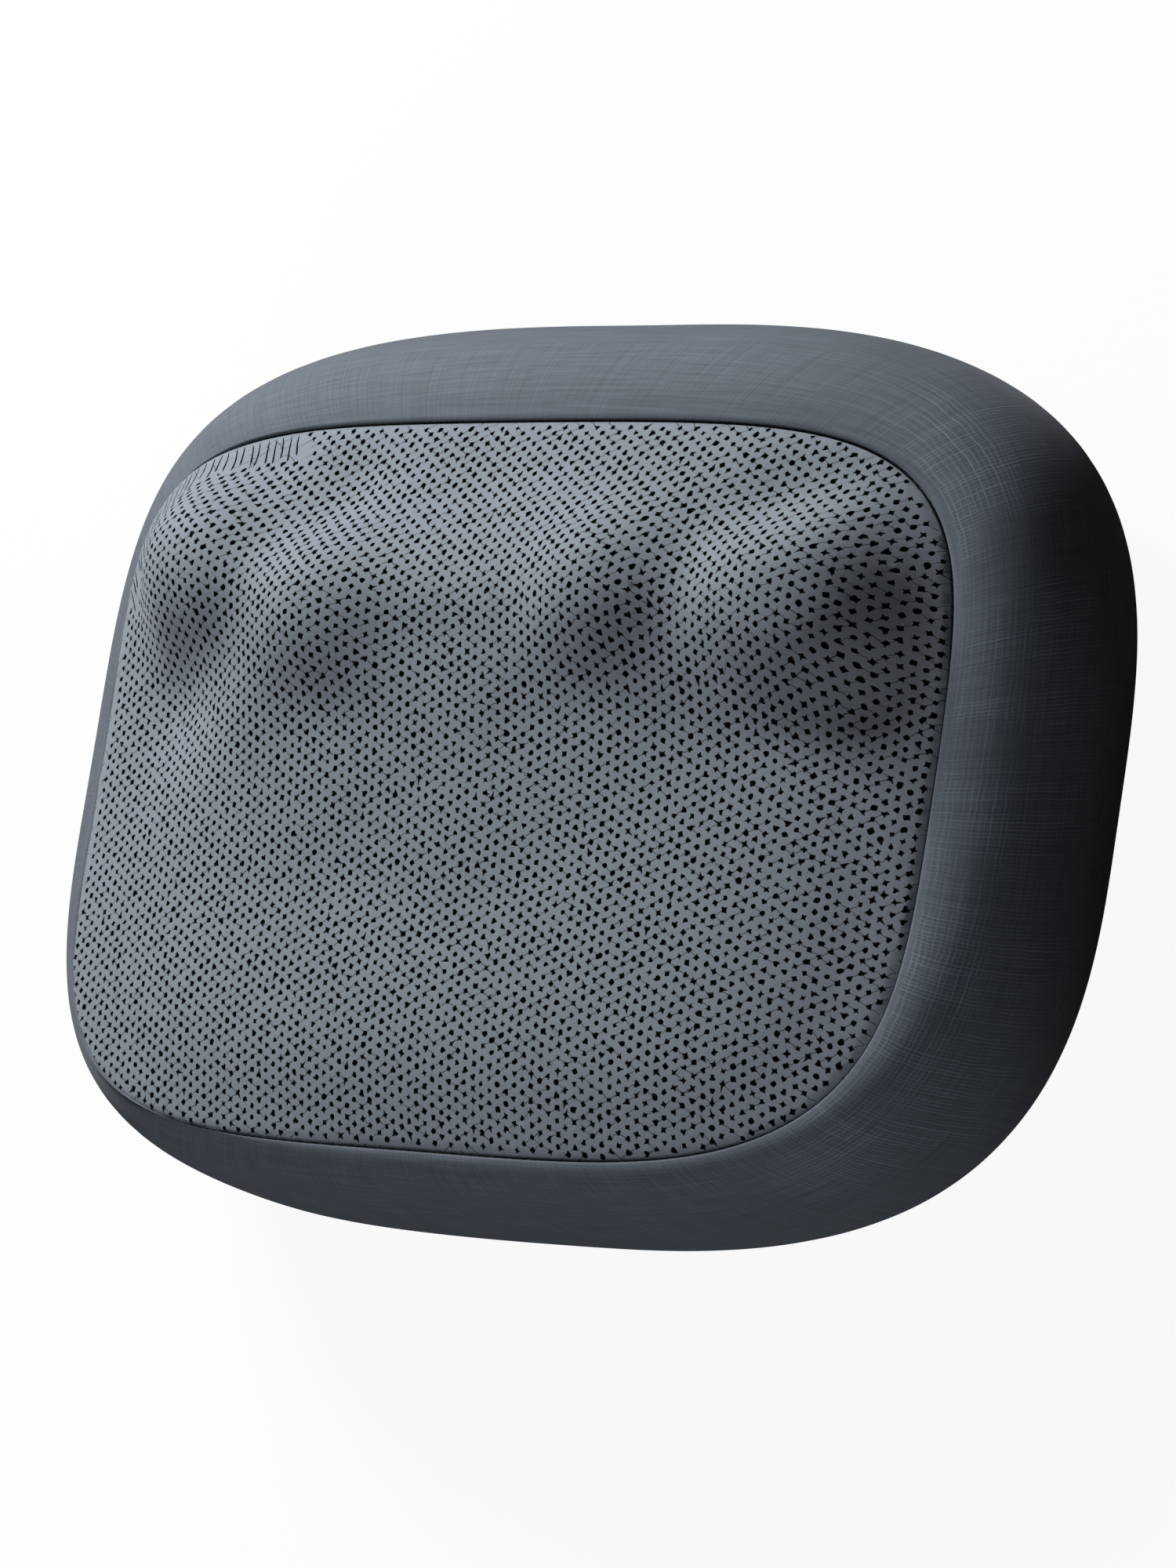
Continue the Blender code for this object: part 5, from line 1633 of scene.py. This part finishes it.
@dataclass
class Zip:
    """The zip: two tapes and the interlocked teeth."""

    tooth_pitch: float = 0.0016
    tooth_around: int = 8
    tooth_profile: tuple[tuple[float, float], ...] = (
        (1.0, 0.5), (0.7, 0.95), (0.2, 1.0), (-0.2, 0.95), (-0.42, 0.5))
    chain_half: float = 0.003
    weave_count: tuple[int, int] = (110, 16)
    weave_depth: float = 0.00008

    def build(self) -> list[bpy.types.Object]:
        """Builds the tapes as one sheet, and the teeth."""
        low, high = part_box("zipper_tape")
        tape_low = low[2] + 0.0007
        s, t, x, y = level_grid(low, high, 221, 33)
        picks = (0.5 + 0.5 * np.cos(2 * np.pi * self.weave_count[0] * s),
                 0.5 + 0.5 * np.cos(2 * np.pi * self.weave_count[1] * t))
        weave = self.weave_depth * picks[0] * picks[1]
        top = np.stack([x, y, np.full_like(x, high[2])], axis=-1)
        bottom = np.stack([x, y, tape_low + weave], axis=-1)
        tape = grid_block("zip_tape", top, bottom, Slot.WEBBING)
        mark_flat_cloth(tape)
        return [tape, self.teeth(low, high, tape_low)]

    def teeth(self, low: Vector, high: Vector, tape_low: float) -> bpy.types.Object:
        """The coil's teeth: rounded blocks that reach past the middle from each side in turn."""
        middle = (low[1] + high[1]) / 2
        count = int((high[0] - low[0] - 0.004) / self.tooth_pitch * 2)
        points, faces = [], []
        for k in range(count):
            x = low[0] + 0.002 + k * self.tooth_pitch / 2
            side = 1 if k % 2 else -1
            wide = self.tooth_pitch * 0.36
            faces += tube_faces(len(self.tooth_profile), self.tooth_around, len(points))
            for share, thick in self.tooth_profile:
                y = middle + side * self.chain_half * share
                for i in range(self.tooth_around):
                    turn = 2 * math.pi * i / self.tooth_around * side
                    points.append((x + wide * thick * math.cos(turn), y,
                                   tape_low - 0.00005 - 0.0003 + 0.00033 * thick * math.sin(turn)))
        return make_piece("zip_teeth", np.array(points), faces, Slot.TRIM)

    def dress(self, pieces: list[bpy.types.Object]) -> None:
        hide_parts("zipper_tape")


# ---------------------------------------------------------------- inside

@dataclass
class Padding:
    """The lining under the front, and the foam that fills the cover."""

    liner_rows: tuple[float, ...] = (0.02, 0.2, 0.4, 0.55, 0.68, 0.8, 0.88, 0.94)
    liner_around: int = 160
    foam_voxel: float = 0.003

    def build(self) -> list[bpy.types.Object]:
        """Builds the lining and the two foam pieces."""
        foam = self.soft_copy("foam_surround", "foam_ring")
        pad = self.soft_copy("lower_foam_pad", "foam_lower_pad")
        return [self.liner(), foam, pad]

    def liner(self) -> bpy.types.Object:
        """The lining: a thin crowned sheet just under the front."""
        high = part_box("inner_liner")[1]
        angle = FORM.even_angles(self.liner_around)
        edge = FORM.outline(angle, [side - 0.0016 for side in FORM.seam_half], FORM.seam_power, 0.0)
        crown = float(FORM.front(np.array(0.0), np.array(FORM.seam_y)))
        sink = crown - high[2]
        rings = []
        for extra, shares in ((0.0, self.liner_rows), (0.0007, self.liner_rows[::-1])):
            for share in shares:
                x, y = edge[:, 0] * share, FORM.seam_y + edge[:, 1] * share
                crease = 0.00008 * np.sin(23 * angle + 30 * share)
                rings.append(np.column_stack([x, y, FORM.front(x, y) - sink - extra - 0.0001 + crease]))
        faces = ring_faces(len(rings), self.liner_around)
        faces.append(tuple(reversed(range(self.liner_around))))
        last = (len(rings) - 1) * self.liner_around
        faces.append(tuple(last + i for i in range(self.liner_around)))
        liner = make_piece("lining_cloth", np.concatenate(rings), [tuple(reversed(f)) for f in faces],
                           Slot.LINING)
        mark_flat_cloth(liner)
        return liner

    def soft_copy(self, node: str, name: str) -> bpy.types.Object:
        """A softened copy of a foam node: remeshed, with its edges eased."""
        source = frame["nodes"][node]
        mesh = source.data.copy()
        mesh.materials.clear()
        mesh.materials.append(FINISHES[Slot.FOAM].material())
        piece = bpy.data.objects.new(name, mesh)
        bpy.context.scene.collection.objects.link(piece)
        weld = piece.modifiers.new("weld", "WELD")
        weld.merge_threshold = 0.00005
        voxels = piece.modifiers.new("voxels", "REMESH")
        voxels.mode, voxels.voxel_size = "VOXEL", self.foam_voxel
        ease = piece.modifiers.new("ease", "SMOOTH")
        ease.factor, ease.iterations = 0.5, 3
        apply_modifiers(piece)
        piece.data.shade_smooth()
        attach(piece, PILLOW)
        return piece

    def dress(self, pieces: list[bpy.types.Object]) -> None:
        liner, foam, pad = pieces
        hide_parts("inner_liner")
        width, length = box_size("inner_liner")
        width, length = width * 1.01, length * 1.01
        for piece, node, fill in ((foam, "foam_surround", 0.9), (pad, "lower_foam_pad", 0.7)):
            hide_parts(node)


@dataclass
class Mechanism:
    """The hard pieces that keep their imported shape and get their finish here."""

    bevel: float = 0.00025
    bevelled: tuple[str, ...] = ("control_plate", "power_button", "dc_jack", "light_ring", "zipper_slider",
                                 "zipper_pull")

    def dress(self) -> int:
        """Gives each carried-over node the finish of its slot.

        Returns:
            How many nodes were dressed.
        """
        count = 0
        for part in frame["record"]["subparts"]:
            node = frame["nodes"][part["node"]]
            slot = Slot(part["material_slot"])
            node.data.materials.clear()
            node.data.materials.append(FINISHES[slot].material())
            count += 1
        for name in self.bevelled:
            change = frame["nodes"][name].modifiers.new("eased_edges", "BEVEL")
            change.width, change.segments, change.limit_method = self.bevel, 2, "ANGLE"
        return count


# ---------------------------------------------------------------- studio

@dataclass(frozen=True)
class SoftLight:
    """A soft square light that faces the pillow."""

    name: str
    towards: tuple[float, float, float]
    distance: float
    size: float
    power: float

    def build(self, target: Vector) -> None:
        """Places the light and points it at the target."""
        lamp = bpy.data.lights.new(self.name, "AREA")
        lamp.shape, lamp.size, lamp.energy = "SQUARE", self.size, self.power
        light = bpy.data.objects.new(self.name, lamp)
        away = Vector(self.towards).normalized()
        light.location = target + away * self.distance
        light.rotation_mode = "QUATERNION"
        light.rotation_quaternion = away.to_track_quat("Z", "Y")
        bpy.context.scene.collection.objects.link(light)


@dataclass
class Studio:
    """A plain pale floor, soft light and the camera."""

    lights: tuple[SoftLight, ...] = (
        SoftLight("key", (-0.45, 0.64, 0.56), 1.6, 0.5, 38.0),
        SoftLight("left_rim", (-0.75, 0.6, 0.02), 1.6, 0.5, 13.0),
        SoftLight("fill", (0.0, -0.85, 0.42), 2.4, 1.2, 20.0),
    )
    world: float = 0.075
    floor_half: float = 12.0
    floor_gap: float = 0.0002
    floor_glow: float = 0.93
    distance: float = 1.783
    towards_camera: tuple[float, float, float] = (0.6103, -0.1604, 0.7758)
    image_up: tuple[float, float, float] = (-0.0255, 0.9748, 0.2217)
    target: tuple[float, float, float] = (-0.0035, 0.0007, 0.0377)
    lens: float = 151.7

    def build(self) -> None:
        """Builds floor, world, lights and camera."""
        scene = bpy.context.scene
        scene.view_settings.view_transform = "Standard"
        target = Vector(self.target)
        back = Vector(self.towards_camera).normalized()
        right = Vector(self.image_up).cross(back).normalized()
        up = back.cross(right)
        camera = bpy.data.objects.new("camera", bpy.data.cameras.new("camera"))
        camera.data.lens = self.lens
        camera.data.clip_end = 50.0
        camera.matrix_world = Matrix.Translation(target + back * self.distance) @ \
            Matrix((right, up, back)).transposed().to_4x4()
        scene.collection.objects.link(camera)
        scene.camera = camera
        for light in self.lights:
            light.build(target)
        self.build_floor()
        self.build_world(scene)

    def build_floor(self) -> None:
        """The pale floor: bright to look at, and dim as a source of bounced light."""
        h = self.floor_half
        mesh = bpy.data.meshes.new("floor")
        z = -self.floor_gap
        mesh.from_pydata([(-h, -h, z), (h, -h, z), (h, h, z), (-h, h, z)], [], [(0, 1, 2, 3)])
        floor = bpy.data.objects.new("floor", mesh)
        bpy.context.scene.collection.objects.link(floor)
        material = bpy.data.materials.new("pale_floor")
        material.use_nodes = True
        material.node_tree.nodes.clear()
        tree = ShaderTree(material.node_tree)
        seen = tree.add("LightPath").outputs["Is Camera Ray"]
        cloudy = tree.noise(tree.place(), 3.0, 2.0)
        pale = tree.tint(cloudy, (0.045, 0.045, 0.045, 1.0), (0.05, 0.05, 0.05, 1.0))
        cloth = tree.add("BsdfDiffuse", {"Color": pale}).outputs[0]
        dim = tree.add("BsdfDiffuse", {"Color": (0.04, 0.04, 0.04, 1.0)}).outputs[0]
        glow = tree.add("Emission", {"Color": WHITE, "Strength": self.floor_glow}).outputs[0]
        bright = tree.add("AddShader", {0: cloth, 1: glow}).outputs[0]
        chosen = tree.add("MixShader", {0: seen, 1: dim, 2: bright}).outputs[0]
        below = tree.add("NewGeometry").outputs["Backfacing"]
        clear = tree.add("BsdfTransparent").outputs[0]
        sided = tree.add("MixShader", {0: below, 1: chosen, 2: clear}).outputs[0]
        tree.feed(tree.add("OutputMaterial").inputs["Surface"], sided)
        mesh.materials.append(material)

    def build_world(self, scene: bpy.types.Scene) -> None:
        """A dim even world, bright where it is seen directly."""
        world = bpy.data.worlds.new("studio")
        world.use_nodes = True
        world.node_tree.nodes.clear()
        tree = ShaderTree(world.node_tree)
        seen = tree.add("LightPath").outputs["Is Camera Ray"]
        even = tree.add("Background", {"Color": WHITE, "Strength": self.world}).outputs[0]
        white = tree.add("Background", {"Color": WHITE, "Strength": 1.0}).outputs[0]
        chosen = tree.add("MixShader", {0: seen, 1: even, 2: white}).outputs[0]
        tree.feed(tree.add("OutputWorld").inputs["Surface"], chosen)
        scene.world = world


def report(piece: bpy.types.Object) -> None:
    """Logs a finished piece and its size."""
    LOG.info("%s: %d faces", piece.name, len(piece.data.polygons))


def main() -> None:
    """Builds the studio and every sub-assembly in order."""
    logging.basicConfig(level=logging.INFO, format="%(name)s: %(message)s")
    Studio().build()
    dressed = Mechanism().dress()
    LOG.info("%d carried-over nodes dressed", dressed)
    for assembly in (FrontPanel(FrontDrape()), SideCover(), FrontSeam(), BackPanel(), Strap(), Zip(),
                     Padding()):
        pieces = assembly.build()
        assembly.dress(pieces)
        for piece in pieces:
            report(piece)


if __name__ == "__main__":
    main()
